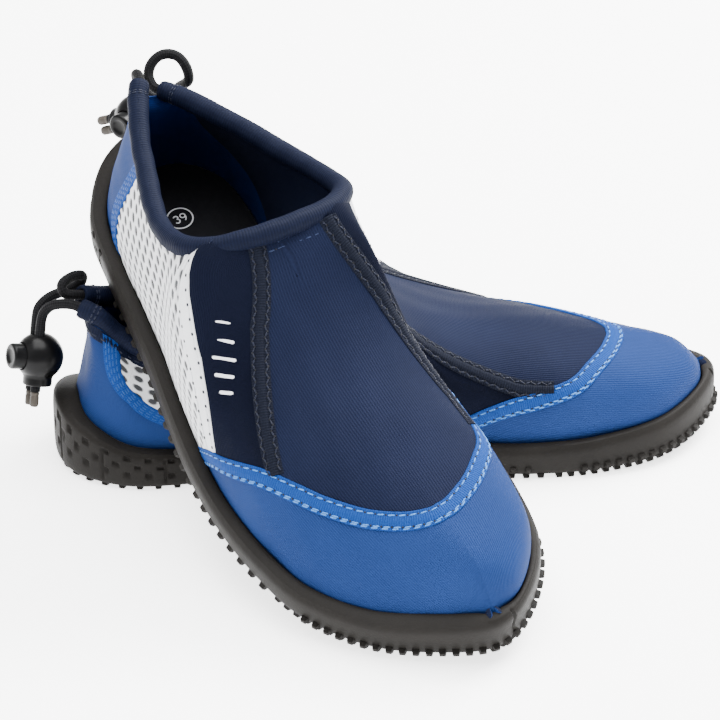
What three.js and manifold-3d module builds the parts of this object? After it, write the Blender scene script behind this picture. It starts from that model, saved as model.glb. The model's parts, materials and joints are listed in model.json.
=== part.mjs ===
// Pair of low-cut neoprene water shoes, EU 39, with an elastic drawcord and a ball cord lock
// at each heel. Millimetres, +Z up. The left shoe lies flat, heel towards -X. The right shoe
// crosses in front of it, toe on the ground, its sole leaning on the left shoe.
//
// Each shoe is built in its own frame: +X from heel to toe, +Y to the medial side of a right
// foot, Z = 0 at the tread. The left shoe is the mirror image of that frame.
import * as THREE from 'three';
import Module from 'manifold-3d';
import { mergeVertices } from 'three/addons/utils/BufferGeometryUtils.js';

// ---------------------------------------------------------------- driving dimensions
const NEOPRENE = 3.0;            // panel thickness
const TAPE = 0.9;                // seam tape thickness
const TAPE_W = 6.6;              // seam tape width
const HEEL_TAPE_W = 5.4;
const LIP = 5.2;                 // width of the rubber lip around the upper
const FEATHER = 7.0;             // inset of the upper's outer face from the sole edge
const FLOOR = 7.5;               // inside floor of the cup sole
const BOARD = 1.5;               // insole board thickness
const SOCK = 3.4;                // insole thickness
const BINDING_R = 3.9;           // collar binding roll radius
const TUNNEL_R = 2.75;           // cord tunnel in the binding
const CORD_R = 1.95;             // elastic drawcord radius
const BALL_R = 9.25;             // cord lock ball radius
const BORE_R = 5.3;              // button bore radius
const BUTTON_R = 4.95;           // button radius
const BUTTON_OUT = 12.3;         // button face from ball centre
const BUTTON_TRAVEL = 3.0;
const STRAND = 2.1;              // half the distance between the two strands in the lock
const SEAT_B = 1.6;              // height of the strands above the ball centre, along the button
const GAP = 0.3;                 // clearance between neighbouring pieces

// Sole outline, heel back to toe tip, lateral and medial, one point per station 0..13.
const OUT_L = [[0,0],[5,-20],[22,-34.5],[46,-39.5],[70,-42.5],[94,-46],[118,-50.5],[142,-54],[166,-55],[190,-52.5],[213,-46.5],[236,-32],[252,-12.5],[261,7]];
const OUT_M = [[0,0],[6,18],[24,30.5],[46,33],[70,30.5],[94,28.5],[118,29.5],[140,35],[161,42],[184,46],[208,46],[234,40],[252.5,25],[261,7]];
const RIM = [28.5,24.5,17.5,15,14.5,14.2,13.8,13.2,13,13.4,14.8,18,21.8,24.5];   // top of the rubber
const BASE = [4.2,3.6,3,3,3,3,3,3,3,3,3.3,4.9,7.6,9.5];                           // lower edge of the wall
// Upper line of the last: above the collar line at stations 0..6, the ridge at 7..13.
const TOP_L = [[12.0,0.0,69.0],[15.3,-8.0,74.7],[25.8,-12.6,67.8],[47.0,-19.9,66.8],[66.0,-26.3,67.7],[85.4,-30.3,72.7],[102.1,-21.7,79.2],[101.2,2.6,86.2],[131.8,2.7,63.6],[158.1,3.6,51.2],[187.0,5.1,45.5],[216.0,6.7,41.3],[243.0,7.7,36.7],[256.5,7.0,22.5]];
const TOP_M = [[12.0,0.0,69.0],[15.3,7.9,67.3],[25.8,11.0,68.2],[47.0,20.7,66.8],[66.0,28.7,68.5],[86.4,34.7,76.4],[103.5,30.5,75.4]];
const LEAN = [-7.7,-4.5,-1.0,0.0,0.0,0.0];               // second handle of stations 0..5: towards the heel, and out
const LEAN_OUT = [0,3.5,7.5,8,6.5,4];
const RISE = [0.4,0.4,0.4,0.4,0.42,0.46,0.46,0.43,0.4,0.42,0.42,0.36,0.26,0.62];    // first handle height share
const RISE_M = [0.4,0.4,0.4,0.4,0.42,0.46,0.7,0.71,0.59,0.56,0.64,0.71,0.7,0.62];    // the same on the medial side
const REACH = [0.0,0.0,0.0,0.0,0.0,0.0,0.76,0.74,0.69,0.64,0.58,0.44,0.29,0.7];                      // second handle reach share
const REACH_M = [0.0,0.0,0.0,0.0,0.0,0.0,0.76,0.79,0.67,0.61,0.7,0.77,0.76,0.7];
const BULGE = [-1.5,-0.5,1,1.5,1.5,1.5,2,2.5,3,4,4.5,4.5,3.2,1.5];
const BULGE_M = [-1.5,-0.5,1.0,1.5,1.5,2.0,9.0,9.1,7.7,7.3,8.4,9.5,9.1,1.5];
// Centre line of the collar binding, from its lateral end at the heel, round the throat.
const COLLAR = [[13,-5,67.3],[18,-8,66.5],[25,-11.5,65.4],[37,-16.8,63.7],[49,-20.7,62.5],[62.5,-25.2,62.6],[76,-28.5,65],[87,-29.2,69.2],[95.5,-27.4,73.4],[102.8,-21.2,77.2],[107.2,-12,79.9],[109.6,1,80.6],[109.3,14,79.6],[106.6,26,76.6],[99.2,34.3,72],[89,34.4,67.8],[77,31.6,64.8],[63,27,62.2],[49,21.8,61.6],[36.5,16,62.4],[24.8,10.3,64.2],[18,7.1,65.5],[12.2,3.9,66.6]];
// On the right shoe the medial end of the collar sits lower at the heel: its last points.
const COLLAR_TAIL = [[49,21.8,61.4],[36.5,15.8,61],[24.8,10,60.6],[18.7,6.3,60.4],[14.2,2.9,60.2]];
// Seams as [station, girth position 0..2] or [station, share of the height up to the collar].
const HEEL_SEAM = [[2.85,1.0],[2.74,0.88],[2.6,0.6],[2.55,0.4],[2.62,0.18],[2.85,0.0]];
const HEEL_SEAM_M = [[1.72,1.0],[1.72,0.76],[1.95,0.61],[2.35,0.49],[2.95,0.35],[3.6,0.18],[4.2,0.0]];
const MESH_EDGE = [[6.15,1.0],[6.96,0.70],[7.3,0.49],[7.53,0.31],[7.62,0.12],[7.64,0.0]];
const TOE_SEAM = [[6.75,0],[7.7,0.22],[8.73,0.42],[9.45,0.52],[9.97,0.58],[10.55,0.67],[10.97,0.81],[11.13,1.0],[10.87,1.19],[10.42,1.38],[9.98,1.53],[9.33,1.63],[8.73,1.71],[8.05,1.83],[7.3,2.0]];
const STRIP_L = [[7.32,0.885],[7.86,0.82],[8.32,0.714],[8.81,0.585],[9.1,0.505]];
const STRIP_M = [[7.2,0.735],[7.6,0.635],[8.1,0.555],[8.6,0.505],[9.1,0.445]];

// How the two shoes stand: the left one flat and turned, the right one leaning on it.
const LEFT_YAW = 0.1508, LEFT_AT = [10.64, -55.27, 0];
const RIGHT_X = [0.49013, -0.7942, -0.35919], RIGHT_Y = [0.87165, 0.44754, 0.19985], RIGHT_AT = [-20.9, -109.3, 42.8];
const ORIGIN_SHIFT = [-10.43, 107.08, 0];              // world origin under the middle of the pair
const HALF = 131;                            // the poses are given at the middle of the sole
// The right sole presses the soft inner side of the left shoe down: share of the height lost, by
// station along the left shoe, above a level under the right sole.
const PRESS = [[12,0],[22,0.34],[30,0.47],[45,0.46],[60,0.47],[75,0.51],[90,0.57],[105,0.59],[118,0.48],[130,0.32],[145,0.12],[160,0]];
const PRESS_FROM = -28, PRESS_BLEND = 12, PRESS_EDGE = 14;

// ---------------------------------------------------------------- small helpers
const V = (x, y, z) => new THREE.Vector3(x, y, z);
const lerp = (a, b, t) => a + (b - a) * t;
const clamp = (x, a, b) => Math.min(b, Math.max(a, x));
function catmull(p0, p1, p2, p3, f) {
  return 0.5 * (2 * p1 + (p2 - p0) * f + (2 * p0 - 5 * p1 + 4 * p2 - p3) * f * f + (3 * p1 - p0 - 3 * p2 + p3) * f * f * f);
}
function ring(P, s) {                        // periodic spline through an array of numbers or vectors
  const n = P.length, i = Math.floor(s), f = s - i, q = [-1, 0, 1, 2].map((j) => P[(((i + j) % n) + n) % n]);
  if (typeof q[0] === 'number') return catmull(...q, f);
  return q[0].map((_, c) => catmull(q[0][c], q[1][c], q[2][c], q[3][c], f));
}
function open(P, s) {                        // open spline through an array of vectors, s in 0..n-1
  const n = P.length, i = clamp(Math.floor(s), 0, n - 2), f = s - i, q = [-1, 0, 1, 2].map((j) => P[clamp(i + j, 0, n - 1)]);
  return q[0].map((_, c) => catmull(q[0][c], q[1][c], q[2][c], q[3][c], f));
}
function table(T, x, ix = 0, iy = 1) {       // y at x on an open spline whose x column is monotonic
  let lo = 0, hi = T.length - 1;
  const up = T[hi][ix] > T[0][ix];
  for (let n = 0; n < 40; n++) {
    const m = (lo + hi) / 2, v = open(T, m)[ix];
    if ((v < x) === up) lo = m; else hi = m;
  }
  return open(T, (lo + hi) / 2)[iy];
}
const both = (L, M) => [...L, ...Array.from({ length: 12 }, (_, i) => M[12 - i])];

// ---------------------------------------------------------------- the last
const OUT = both(OUT_L, OUT_M), RIMS = both(RIM, RIM), BASES = both(BASE, BASE);
const TOP = both(TOP_L, TOP_M.concat(TOP_L.slice(7)));
const spring = (x) => (x > 195 ? 6 * ((x - 195) / 66) ** 2 : x < 12 ? 1.2 * ((12 - x) / 12) ** 2 : 0);
function edge(s) {                           // outline point and outward normal
  const p = ring(OUT, s), a = ring(OUT, s - 0.01), b = ring(OUT, s + 0.01);
  const l = Math.hypot(b[0] - a[0], b[1] - a[1]);
  return { p, n: [(a[1] - b[1]) / l * -1 * -1, (b[0] - a[0]) / l] };
}
function outward(s) {
  const e = edge(s); let [nx, ny] = e.n;
  if ((e.p[0] - 128) * nx + e.p[1] * ny < 0) { nx = -nx; ny = -ny; }
  return { x: e.p[0], y: e.p[1], nx, ny };
}
const F = [], H1 = [], H2 = [];
for (let s = 0; s < 26; s++) {
  const k = s <= 13 ? s : 26 - s, side = s <= 13 ? -1 : 1, o = outward(s), T = TOP[s];
  const fx = o.x - o.nx * FEATHER, fy = o.y - o.ny * FEATHER, fz = FLOOR + 0.7 + spring(o.x), h = T[2] - fz;
  F.push([fx, fy, fz]);
  const bulge = (s <= 13 ? BULGE : BULGE_M)[k];
  H1.push([fx + o.nx * bulge, fy + o.ny * bulge, fz + (s <= 13 ? RISE : RISE_M)[k] * h]);
  if (k < 6) {
    H2.push([T[0] - LEAN[k], T[1] + side * LEAN_OUT[k], T[2] - 0.42 * h]);
  } else {
    let dx = fx - T[0], dy = fy - T[1]; const L = Math.hypot(dx, dy); dx /= L; dy /= L;
    const w = [0.3, 0.1, 0, 0, 0.1, 0.35, 0.85, 1][k - 6];
    let ex = k === 6 ? -0.35 : w * dx, ey = k === 6 ? side : (1 - w) * side + w * dy; const l = Math.hypot(ex, ey); ex /= l; ey /= l;
    const slope = k < 13 ? (TOP_L[k + 1][2] - TOP_L[k - 1][2]) / (TOP_L[k + 1][0] - TOP_L[k - 1][0]) : -1;
    const r = (s <= 13 ? REACH : REACH_M)[k] * L;
    H2.push([T[0] + ex * r, T[1] + ey * r, T[2] + slope * ex * r * 0.8]);
  }
}
function last(s, t) {
  const f = ring(F, s), a = ring(H1, s), b = ring(H2, s), c = ring(TOP, s), u = 1 - t;
  return V(...[0, 1, 2].map((i) => u * u * u * f[i] + 3 * u * u * t * a[i] + 3 * u * t * t * b[i] + t * t * t * c[i]));
}
// girth coordinates: station k (negative: medial side, through the heel) and v, 0..2 over the ridge
const at = (k, v) => (v <= 1 ? last(k, v) : last(-k, 2 - v));
function normal(k, v) {
  const d = 0.02, a = at(k + d, v).sub(at(k - d, v));
  const side = v < 1 ? 1 : -1;
  const v0 = Math.max(v - d, 0), v1 = Math.min(v + d, 2);
  const b = at(k, v1).sub(at(k, v0));
  const n = a.cross(b).normalize();
  return (v <= 1 || k >= 0) ? n.multiplyScalar(1) : n.multiplyScalar(side);
}
const P0 = at(8, 0.5), N0 = normal(8, 0.5), SIGN = N0.z > 0 ? 1 : -1;

// ---------------------------------------------------------------- the pressed side of the left shoe
const BX = V(...RIGHT_X).normalize(), BY = V(...RIGHT_Y).addScaledVector(BX, -V(...RIGHT_Y).dot(BX)).normalize(), BZ = BX.clone().cross(BY);
const OUTLINE = Array.from({ length: 104 }, (_, i) => ring(OUT, i / 4));
function insideSole(x, y) {                   // distance inside the sole outline, negative outside
  let best = 1e9, inside = false;
  for (let i = 0, j = OUTLINE.length - 1; i < OUTLINE.length; j = i++) {
    const [ax, ay] = OUTLINE[j], [bx, by] = OUTLINE[i], ex = bx - ax, ey = by - ay;
    const t = clamp(((x - ax) * ex + (y - ay) * ey) / (ex * ex + ey * ey), 0, 1);
    best = Math.min(best, Math.hypot(x - ax - t * ex, y - ay - t * ey));
    if ((ay > y) !== (by > y) && x < ax + (y - ay) / (by - ay) * ex) inside = !inside;
  }
  return inside ? best : -best;
}
function pressed(p) {                         // left shoe frame in and out
  let k = 0; for (let i = 0; i < PRESS.length - 1; i++) if (p.x >= PRESS[i][0] && p.x < PRESS[i + 1][0]) k = lerp(PRESS[i][1], PRESS[i + 1][1], (p.x - PRESS[i][0]) / (PRESS[i + 1][0] - PRESS[i][0]));
  if (k === 0) return p.clone();
  const c = Math.cos(LEFT_YAW), n = Math.sin(LEFT_YAW), lx = p.x - HALF, ly = -p.y;
  const w = V(c * lx - n * ly + LEFT_AT[0], n * lx + c * ly + LEFT_AT[1], p.z + LEFT_AT[2]).sub(V(...RIGHT_AT));
  const u = w.dot(BZ) - PRESS_FROM; if (u <= 0) return p.clone();
  const e = clamp(insideSole(w.dot(BX) + HALF, w.dot(BY)) / PRESS_EDGE + 1, 0, 1), s = e * e * (3 - 2 * e);
  const g = clamp((p.y + 20) / 18, 0, 1), d = k * s * g * g * (3 - 2 * g) * (u < PRESS_BLEND ? u * u / (2 * PRESS_BLEND) : u - PRESS_BLEND / 2);
  // back to the left frame: turn -BZ by the yaw and mirror it
  return V(p.x - d * (c * BZ.x + n * BZ.y), p.y + d * (-n * BZ.x + c * BZ.y), p.z - d * BZ.z);
}
let warp = (p) => p;
const skin = (q, off) => warp(at(q[0], q[1]).addScaledVector(normal(q[0], q[1]), SIGN * off));
function smooth(pts, step) {                 // centripetal resampling at even steps
  const c = new THREE.CatmullRomCurve3(pts, false, 'centripetal'), n = Math.round(c.getLength() / step);
  return c.getSpacedPoints(n);
}
const collarLine = (which) => (which === 'left' ? COLLAR : COLLAR.slice(0, COLLAR.length - COLLAR_TAIL.length).concat(COLLAR_TAIL)).map((p) => V(...p));
let BINDING = [], FINE = [], EDGE_L = [], EDGE_M = [];
function toBinding(k, v) {                    // how far the middle of the panel is from the collar line
  const p = skin([k, v], -NEOPRENE / 2);
  let best = 1e9; for (const q of FINE) best = Math.min(best, p.distanceToSquared(q)); return Math.sqrt(best);
}
let COLLAR_GAP = BINDING_R + 1.05;
function march(f, a, b, n = 60) {             // first place from a to b where f drops under the collar gap
  let x = a; for (let i = 1; i <= n; i++) { const y = lerp(a, b, i / n); if (f(y) < COLLAR_GAP) { let lo = x, hi = y; for (let m = 0; m < 14; m++) { const c = (lo + hi) / 2; if (f(c) < COLLAR_GAP) hi = c; else lo = c; } return lo; } x = y; }
  return b;
}
const edgeTable = (sg) => Array.from({ length: 38 }, (_, i) => { const k = i * 0.2; return march((v) => toBinding(sg < 0 && k === 0 ? 0 : sg * k, v), 0.55, 1.0); });
function setShape(which) {                    // collar line and panel top edges of one shoe
  warp = which === 'left' ? pressed : (p) => p; COLLAR_GAP = BINDING_R + (which === 'left' ? 1.6 : 1.05);
  const line = collarLine(which).map((p) => warp(p)); BINDING = smooth(line, 8.0);
  FINE = BINDING.flatMap((p, i) => (i ? [0.25, 0.5, 0.75, 1].map((t) => BINDING[i - 1].clone().lerp(p, t)) : [p]));
  EDGE_L = edgeTable(1); EDGE_M = edgeTable(-1);
  EDGE_L[0] = EDGE_M[0] = EDGE_L[1] = EDGE_M[1] = Math.min(EDGE_L[2], EDGE_M[2]);
}
function collarV(k) {                         // top edge of the panels; negative stations are the medial side
  const T = k >= 0 ? EDGE_L : EDGE_M, x = Math.min(Math.abs(k) / 0.2, 36.99), i = Math.floor(x); return lerp(T[i], T[i + 1], x - i);
}
const throatK = (v) => march((k) => toBinding(k, v), 8.6, 5.5);   // rear edge of the vamp

// ---------------------------------------------------------------- closed meshes
function solid(verts, tris) {
  const g = new THREE.BufferGeometry();
  g.setAttribute('position', new THREE.Float32BufferAttribute(verts.flatMap((v) => [v.x, v.y, v.z]), 3));
  g.setIndex(tris.flat());
  let vol = 0;
  for (const [a, b, c] of tris) vol += verts[a].dot(verts[b].clone().cross(verts[c]));
  if (vol < 0) g.setIndex(tris.map(([a, b, c]) => [a, c, b]).flat());
  return g;
}
// plate from a grid of surface parameters: outer face at off1, inner face at off0
function plate(grid, off1, off0) {
  const nu = grid.length, nv = grid[0].length, verts = [], tris = [];
  for (const off of [off1, off0]) for (const row of grid) for (const q of row) verts.push(skin(q, off));
  const id = (f, i, j) => f * nu * nv + i * nv + j;
  const quad = (a, b, c, d) => { tris.push([a, b, c], [a, c, d]); };
  for (let i = 0; i < nu - 1; i++) for (let j = 0; j < nv - 1; j++) {
    quad(id(0, i, j), id(0, i + 1, j), id(0, i + 1, j + 1), id(0, i, j + 1));
    quad(id(1, i, j), id(1, i, j + 1), id(1, i + 1, j + 1), id(1, i + 1, j));
  }
  for (let i = 0; i < nu - 1; i++) {
    quad(id(0, i, 0), id(1, i, 0), id(1, i + 1, 0), id(0, i + 1, 0));
    quad(id(0, i, nv - 1), id(0, i + 1, nv - 1), id(1, i + 1, nv - 1), id(1, i, nv - 1));
  }
  for (let j = 0; j < nv - 1; j++) {
    quad(id(0, 0, j), id(0, 0, j + 1), id(1, 0, j + 1), id(1, 0, j));
    quad(id(0, nu - 1, j), id(1, nu - 1, j), id(1, nu - 1, j + 1), id(0, nu - 1, j + 1));
  }
  return solid(verts, tris);
}
// pull the border of a parameter grid inwards by d on the surface
function inset(grid, d, sides = [1, 1, 1, 1]) {
  const g = grid.map((r) => r.map((q) => [...q])), nu = g.length, nv = g[0].length;
  const step = (q, r) => {
    const l = at(q[0], q[1]).distanceTo(at(r[0], r[1]));
    if (l < 1e-6) return; const t = Math.min(0.45, d / l); q[0] = lerp(q[0], r[0], t); q[1] = lerp(q[1], r[1], t);
  };
  for (let j = 0; j < nv; j++) { if (sides[0]) step(g[0][j], grid[1][j]); if (sides[1]) step(g[nu - 1][j], grid[nu - 2][j]); }
  for (let i = 0; i < nu; i++) { if (sides[2]) step(g[i][0], g[i][1]); if (sides[3]) step(g[i][nv - 1], g[i][nv - 2]); }
  return g;
}
function gridOf(nu, nv, fn) { return Array.from({ length: nu + 1 }, (_, i) => Array.from({ length: nv + 1 }, (_, j) => fn(i / nu, j / nv))); }
// ribbon of width w along a parameter curve
function ribbon(curve, w, cols = 2) {
  return curve.map((q, i) => {
    const a = curve[Math.max(0, i - 1)], b = curve[Math.min(curve.length - 1, i + 1)];
    const T = at(b[0], b[1]).sub(at(a[0], a[1])).normalize(), N = normal(q[0], q[1]).multiplyScalar(SIGN), B = N.clone().cross(T).normalize();
    const e = 0.01, C = at(q[0], q[1]);
    const dk = at(q[0] + e, q[1]).sub(C).divideScalar(e), dv = (q[1] <= 1 ? at(q[0], q[1] - e).sub(C).divideScalar(-e) : at(q[0], Math.min(2, q[1] + e)).sub(C).divideScalar(e));
    const kk = dk.dot(dk), kv = dk.dot(dv), vv = dv.dot(dv), bk = dk.dot(B), bv = dv.dot(B), det = kk * vv - kv * kv;
    const gk = (bk * vv - bv * kv) / det, gv = (bv * kk - bk * kv) / det;
    return Array.from({ length: cols + 1 }, (_, j) => { const h = (j / cols - 0.5) * w; return [q[0] + gk * h, clamp(q[1] + gv * h, 0.001, 1.999)]; });
  });
}
// closed tube along points, with frames carried along it; inner > 0 makes it a pipe open at both ends
function tube(pts, r, sides, inner = 0) {
  const n = pts.length, verts = [], tris = [];
  let N = null;
  const tan = pts.map((p, i) => pts[Math.min(n - 1, i + 1)].clone().sub(pts[Math.max(0, i - 1)]).normalize());
  const frames = pts.map((p, i) => {
    const T = tan[i];
    if (!N) N = Math.abs(T.z) < 0.9 ? V(0, 0, 1) : V(1, 0, 0);
    N = N.clone().addScaledVector(T, -N.dot(T)).normalize();
    return [N, T.clone().cross(N)];
  });
  const rings = (rad) => pts.forEach((p, i) => { for (let j = 0; j < sides; j++) { const a = 2 * Math.PI * j / sides; verts.push(p.clone().addScaledVector(frames[i][0], rad * Math.cos(a)).addScaledVector(frames[i][1], rad * Math.sin(a))); } });
  rings(r); if (inner) rings(inner);
  const id = (f, i, j) => f * n * sides + i * sides + (j % sides);
  for (let i = 0; i < n - 1; i++) for (let j = 0; j < sides; j++) {
    tris.push([id(0, i, j), id(0, i, j + 1), id(0, i + 1, j + 1)], [id(0, i, j), id(0, i + 1, j + 1), id(0, i + 1, j)]);
    if (inner) tris.push([id(1, i, j), id(1, i + 1, j + 1), id(1, i, j + 1)], [id(1, i, j), id(1, i + 1, j), id(1, i + 1, j + 1)]);
  }
  for (const [i, flip] of [[0, 1], [n - 1, 0]]) {
    if (inner) for (let j = 0; j < sides; j++) {
      const q = [[id(0, i, j), id(0, i, j + 1), id(1, i, j + 1)], [id(0, i, j), id(1, i, j + 1), id(1, i, j)]];
      for (const [a, b, c] of q) tris.push(flip ? [a, c, b] : [a, b, c]);
    } else for (let j = 1; j < sides - 1; j++) tris.push(flip ? [id(0, i, 0), id(0, i, j + 1), id(0, i, j)] : [id(0, i, 0), id(0, i, j), id(0, i, j + 1)]);
  }
  return solid(verts, tris);
}

// ---------------------------------------------------------------- sole unit
const NS = 52;
function loopRing(d, z) {                    // one ring of NS points around the outline
  return Array.from({ length: NS }, (_, i) => { const s = i / 2, o = outward(s); return V(o.x - o.nx * d, o.y - o.ny * d, typeof z === 'function' ? z(s, o) : z); });
}
function shellOfRings(rings) {               // rings from the bottom face, out and over, to the top face
  const verts = rings.flat(), tris = [], id = (r, i) => r * NS + (i % NS);
  for (let r = 0; r < rings.length - 1; r++) for (let i = 0; i < NS; i++) tris.push([id(r, i), id(r, i + 1), id(r + 1, i + 1)], [id(r, i), id(r + 1, i + 1), id(r + 1, i)]);
  for (const [r, flip] of [[0, 0], [rings.length - 1, 1]]) for (let i = 0; i < NS / 2; i++) {
    const a = id(r, i), b = id(r, i + 1), c = id(r, NS - i - 1), d = id(r, (NS - i) % NS);
    const q = [];
    if (a !== d) q.push([a, c, b], [a, d, c]); else q.push([a, c, b]);
    for (const t of q) { if (new Set(t).size === 3) tris.push(flip ? [t[0], t[2], t[1]] : t); }
  }
  return solid(verts, tris);
}
const rimZ = (s) => ring(RIMS, s), baseZ = (s) => ring(BASES, s);
function wallInset(s, z) {                   // inset of the upper's outer face at height z
  let lo = 0, hi = 0.6; for (let n = 0; n < 30; n++) { const m = (lo + hi) / 2; if (last(s, m).z < z) lo = m; else hi = m; }
  const o = outward(s), p = last(s, lo); return (o.x - p.x) * o.nx + (o.y - p.y) * o.ny;
}
const cupRing = (share) => Array.from({ length: NS }, (_, i) => {   // inside of the wall, clear of the upper
  const s = i / 2, o = outward(s), z0 = FLOOR + spring(o.x), z = lerp(z0, rimZ(s) - 0.5, share);
  let d = 1e9; for (const e of [-0.45, -0.2, 0, 0.2, 0.45]) d = Math.min(d, wallInset(s + e, Math.max(z, z0 + 0.8)));
  return V(o.x - o.nx * (d - 0.8), o.y - o.ny * (d - 0.8), z);
});
const outsoleGeometry = () => shellOfRings([
  loopRing(7.5, (s, o) => spring(o.x)),
  loopRing(2.2, (s, o) => spring(o.x) + 0.7),
  loopRing(0.4, (s) => baseZ(s)),
  loopRing(0, (s) => lerp(baseZ(s), rimZ(s), 0.5)),
  loopRing(1.0, (s) => rimZ(s) - 1.2),
  loopRing(2.4, (s) => rimZ(s)),
  cupRing(1), cupRing(0.5), cupRing(0),
]);
const slab = (d, z0, z1) => shellOfRings([loopRing(d, (s, o) => z0 + spring(o.x)), loopRing(d, (s, o) => z1 + spring(o.x))]);

// ---------------------------------------------------------------- upper panels
const stripV = (k, med) => {                  // seam between vamp and side, starting on the collar edge
  const T = med ? STRIP_M : STRIP_L, k0 = T[0][0], kk = clamp(k, k0, T[T.length - 1][0]);
  return lerp(collarV(med ? -k0 : k0), table(T, kk), clamp((kk - k0) / 0.6, 0, 1));
};
const seamK = (v) => table(TOE_SEAM, v, 1, 0);
const fracTable = (T, w) => table(T, w, 1, 0);
// side of the shoe between the feather line (or toe seam) and the collar (or strip seam)
function sideBounds(strip, med) {
  const kEnd = strip[strip.length - 1][0], k0 = strip[0][0];
  const rimK = med ? seamK(2) : seamK(0);
  // toe seam height at station k on this side
  const seamV = (k) => { let lo = 0, hi = 1; for (let n = 0; n < 40; n++) { const m = (lo + hi) / 2, kk = seamK(med ? 2 - m : m); if (kk < k) lo = m; else hi = m; } return (lo + hi) / 2; };
  const low = (k) => (k > rimK ? seamV(k) : 0);
  const high = (k) => (k < k0 ? collarV(med ? -k : k) : stripV(k, med));
  return { low, high, kEnd };
}
function sidePanels(med) {
  const strip = med ? STRIP_M : STRIP_L, B = sideBounds(strip, med), sg = (k, v) => (med ? [k, 2 - v] : [k, v]);
  // end station where the toe seam meets the strip
  let kj = strip[0][0]; while (kj < 12 && B.high(Math.min(kj, strip[strip.length - 1][0])) - B.low(kj) > 0.02) kj += 0.02;
  const q = (k, w) => { const lo = B.low(k), hi = B.high(Math.min(k, strip[strip.length - 1][0])); return sg(k, lerp(lo, hi, w)); };
  const mesh = gridOf(9, 7, (a, w) => q(lerp(fracTable(med ? HEEL_SEAM_M : HEEL_SEAM, w), fracTable(MESH_EDGE, w), a), w));
  const panel = gridOf(12, 7, (a, w) => q(lerp(fracTable(MESH_EDGE, w), kj - 0.2, a), w));
  const d = (med ? 3.2 : 1.6) * GAP;
  return { mesh: inset(mesh, d), panel: inset(panel, d), kj };
}
const heelGrid = () => gridOf(14, 7, (a, w) => {
  const k = lerp(-fracTable(HEEL_SEAM_M, w), fracTable(HEEL_SEAM, w), a);
  return [k, w * collarV(k)];
});
const vampGrid = () => {
  const jl = sidePanels(false).kj, jm = sidePanels(true).kj;
  // rear edge: collar between the two strip corners; front edge: toe seam between the strips' ends
  const kL = STRIP_L[0][0], kM = STRIP_M[0][0], v0 = collarV(kL), v1 = 2 - collarV(-kM);
  const rear = (u) => { const v = lerp(v0, v1, u); return [u === 0 ? kL : u === 1 ? kM : throatK(v), v]; };
  const lat = (w) => { const k = lerp(kL, jl, w); return [k, stripV(k, false)]; };
  const mdl = (w) => { const k = lerp(kM, jm, w); return [k, 2 - stripV(k, true)]; };
  const vl = lat(1)[1], vm = mdl(1)[1];
  const front = (u) => { const v = lerp(vl, vm, u); return [seamK(v), v]; };
  return gridOf(10, 14, (w, u) => {
    const a = lat(w), b = mdl(w), c = rear(u), d = front(u), c0 = rear(0), c1 = rear(1), d0 = front(0), d1 = front(1);
    return [0, 1].map((i) => lerp(a[i], b[i], u) + lerp(c[i], d[i], w) - lerp(lerp(c0[i], c1[i], u), lerp(d0[i], d1[i], u), w));
  });
};
const toeGrid = () => gridOf(7, 22, (w, u) => { const v = u * 2, k0 = seamK(v); return [lerp(k0, 12.86, w), lerp(v, clamp(v, 0.001, 1.999), w)]; });

function seamCurve(T, a, b, n) { return Array.from({ length: n + 1 }, (_, i) => open(T, lerp(a, b, i / n))); }
const resample = (curve, from, to, n) => {   // trim a curve by lengths at its two ends
  const P = curve.map((q) => at(q[0], q[1])), L = [0]; for (let i = 1; i < P.length; i++) L.push(L[i - 1] + P[i].distanceTo(P[i - 1]));
  const total = L[L.length - 1];
  return Array.from({ length: n + 1 }, (_, j) => { const l = lerp(from, total - to, j / n); let i = 1; while (i < L.length - 1 && L[i] < l) i++; const f = (l - L[i - 1]) / (L[i] - L[i - 1]); return [lerp(curve[i - 1][0], curve[i][0], f), lerp(curve[i - 1][1], curve[i][1], f)]; });
};

// ---------------------------------------------------------------- cord lock and cord
// lock frame: centre, a = way the cord tails leave, b = button axis
const LOCKS = {
  right: { c: V(-11.6, 3.9, 17.7), a: V(-0.6285, -0.5147, -0.5832), b: V(0.3671, -0.8573, 0.3609) },
  left: { c: V(-4.15, 1.7, 45.65), a: V(-0.1516, 0.3314, -0.9312), b: V(-0.9082, 0.3251, 0.2636) },
};
function lockFrame(L) { const a = L.a.clone().normalize(), b = L.b.clone().addScaledVector(a, -L.b.dot(a)).normalize(); return { c: L.c, a, b, d: a.clone().cross(b) }; }
function inFrame(geometry, f) {              // geometry axes x,y,z -> d (across), b (button), a (cord)
  // x = b cross a keeps the frame right handed
  const x = f.b.clone().cross(f.a), m = new THREE.Matrix4().makeBasis(x, f.b, f.a).setPosition(f.c);
  return geometry.clone().applyMatrix4(m);
}
const wasm = await Module(); wasm.setup();
function toManifold(geometry) {
  const g = geometry.clone(); g.deleteAttribute('normal'); g.deleteAttribute('uv');
  const m = mergeVertices(g, 1e-4);
  return new wasm.Manifold(new wasm.Mesh({ numProp: 3, vertProperties: new Float32Array(m.attributes.position.array), triVerts: new Uint32Array(m.index.array) }));
}
function fromManifold(man) {
  const m = man.getMesh(), g = new THREE.BufferGeometry();
  g.setAttribute('position', new THREE.Float32BufferAttribute(Array.from(m.vertProperties), 3)); g.setIndex(Array.from(m.triVerts)); return g;
}
const lathe = (profile, n, x = 0) => { const g = new THREE.LatheGeometry(profile.map(([r, z]) => new THREE.Vector2(r, z)), n); return x ? g.rotateX(x) : g; };
function slot(w, h, len) {                   // oblong hole along z: w across x, h along y
  const s = new THREE.Shape(), r = h / 2, c = w / 2 - r;
  s.absarc(c, 0, r, -Math.PI / 2, Math.PI / 2, false); s.absarc(-c, 0, r, Math.PI / 2, 1.5 * Math.PI, false); s.closePath();
  return new THREE.ExtrudeGeometry(s, { depth: len, bevelEnabled: false, curveSegments: 4 }).translate(0, 0, -len / 2);
}
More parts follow.
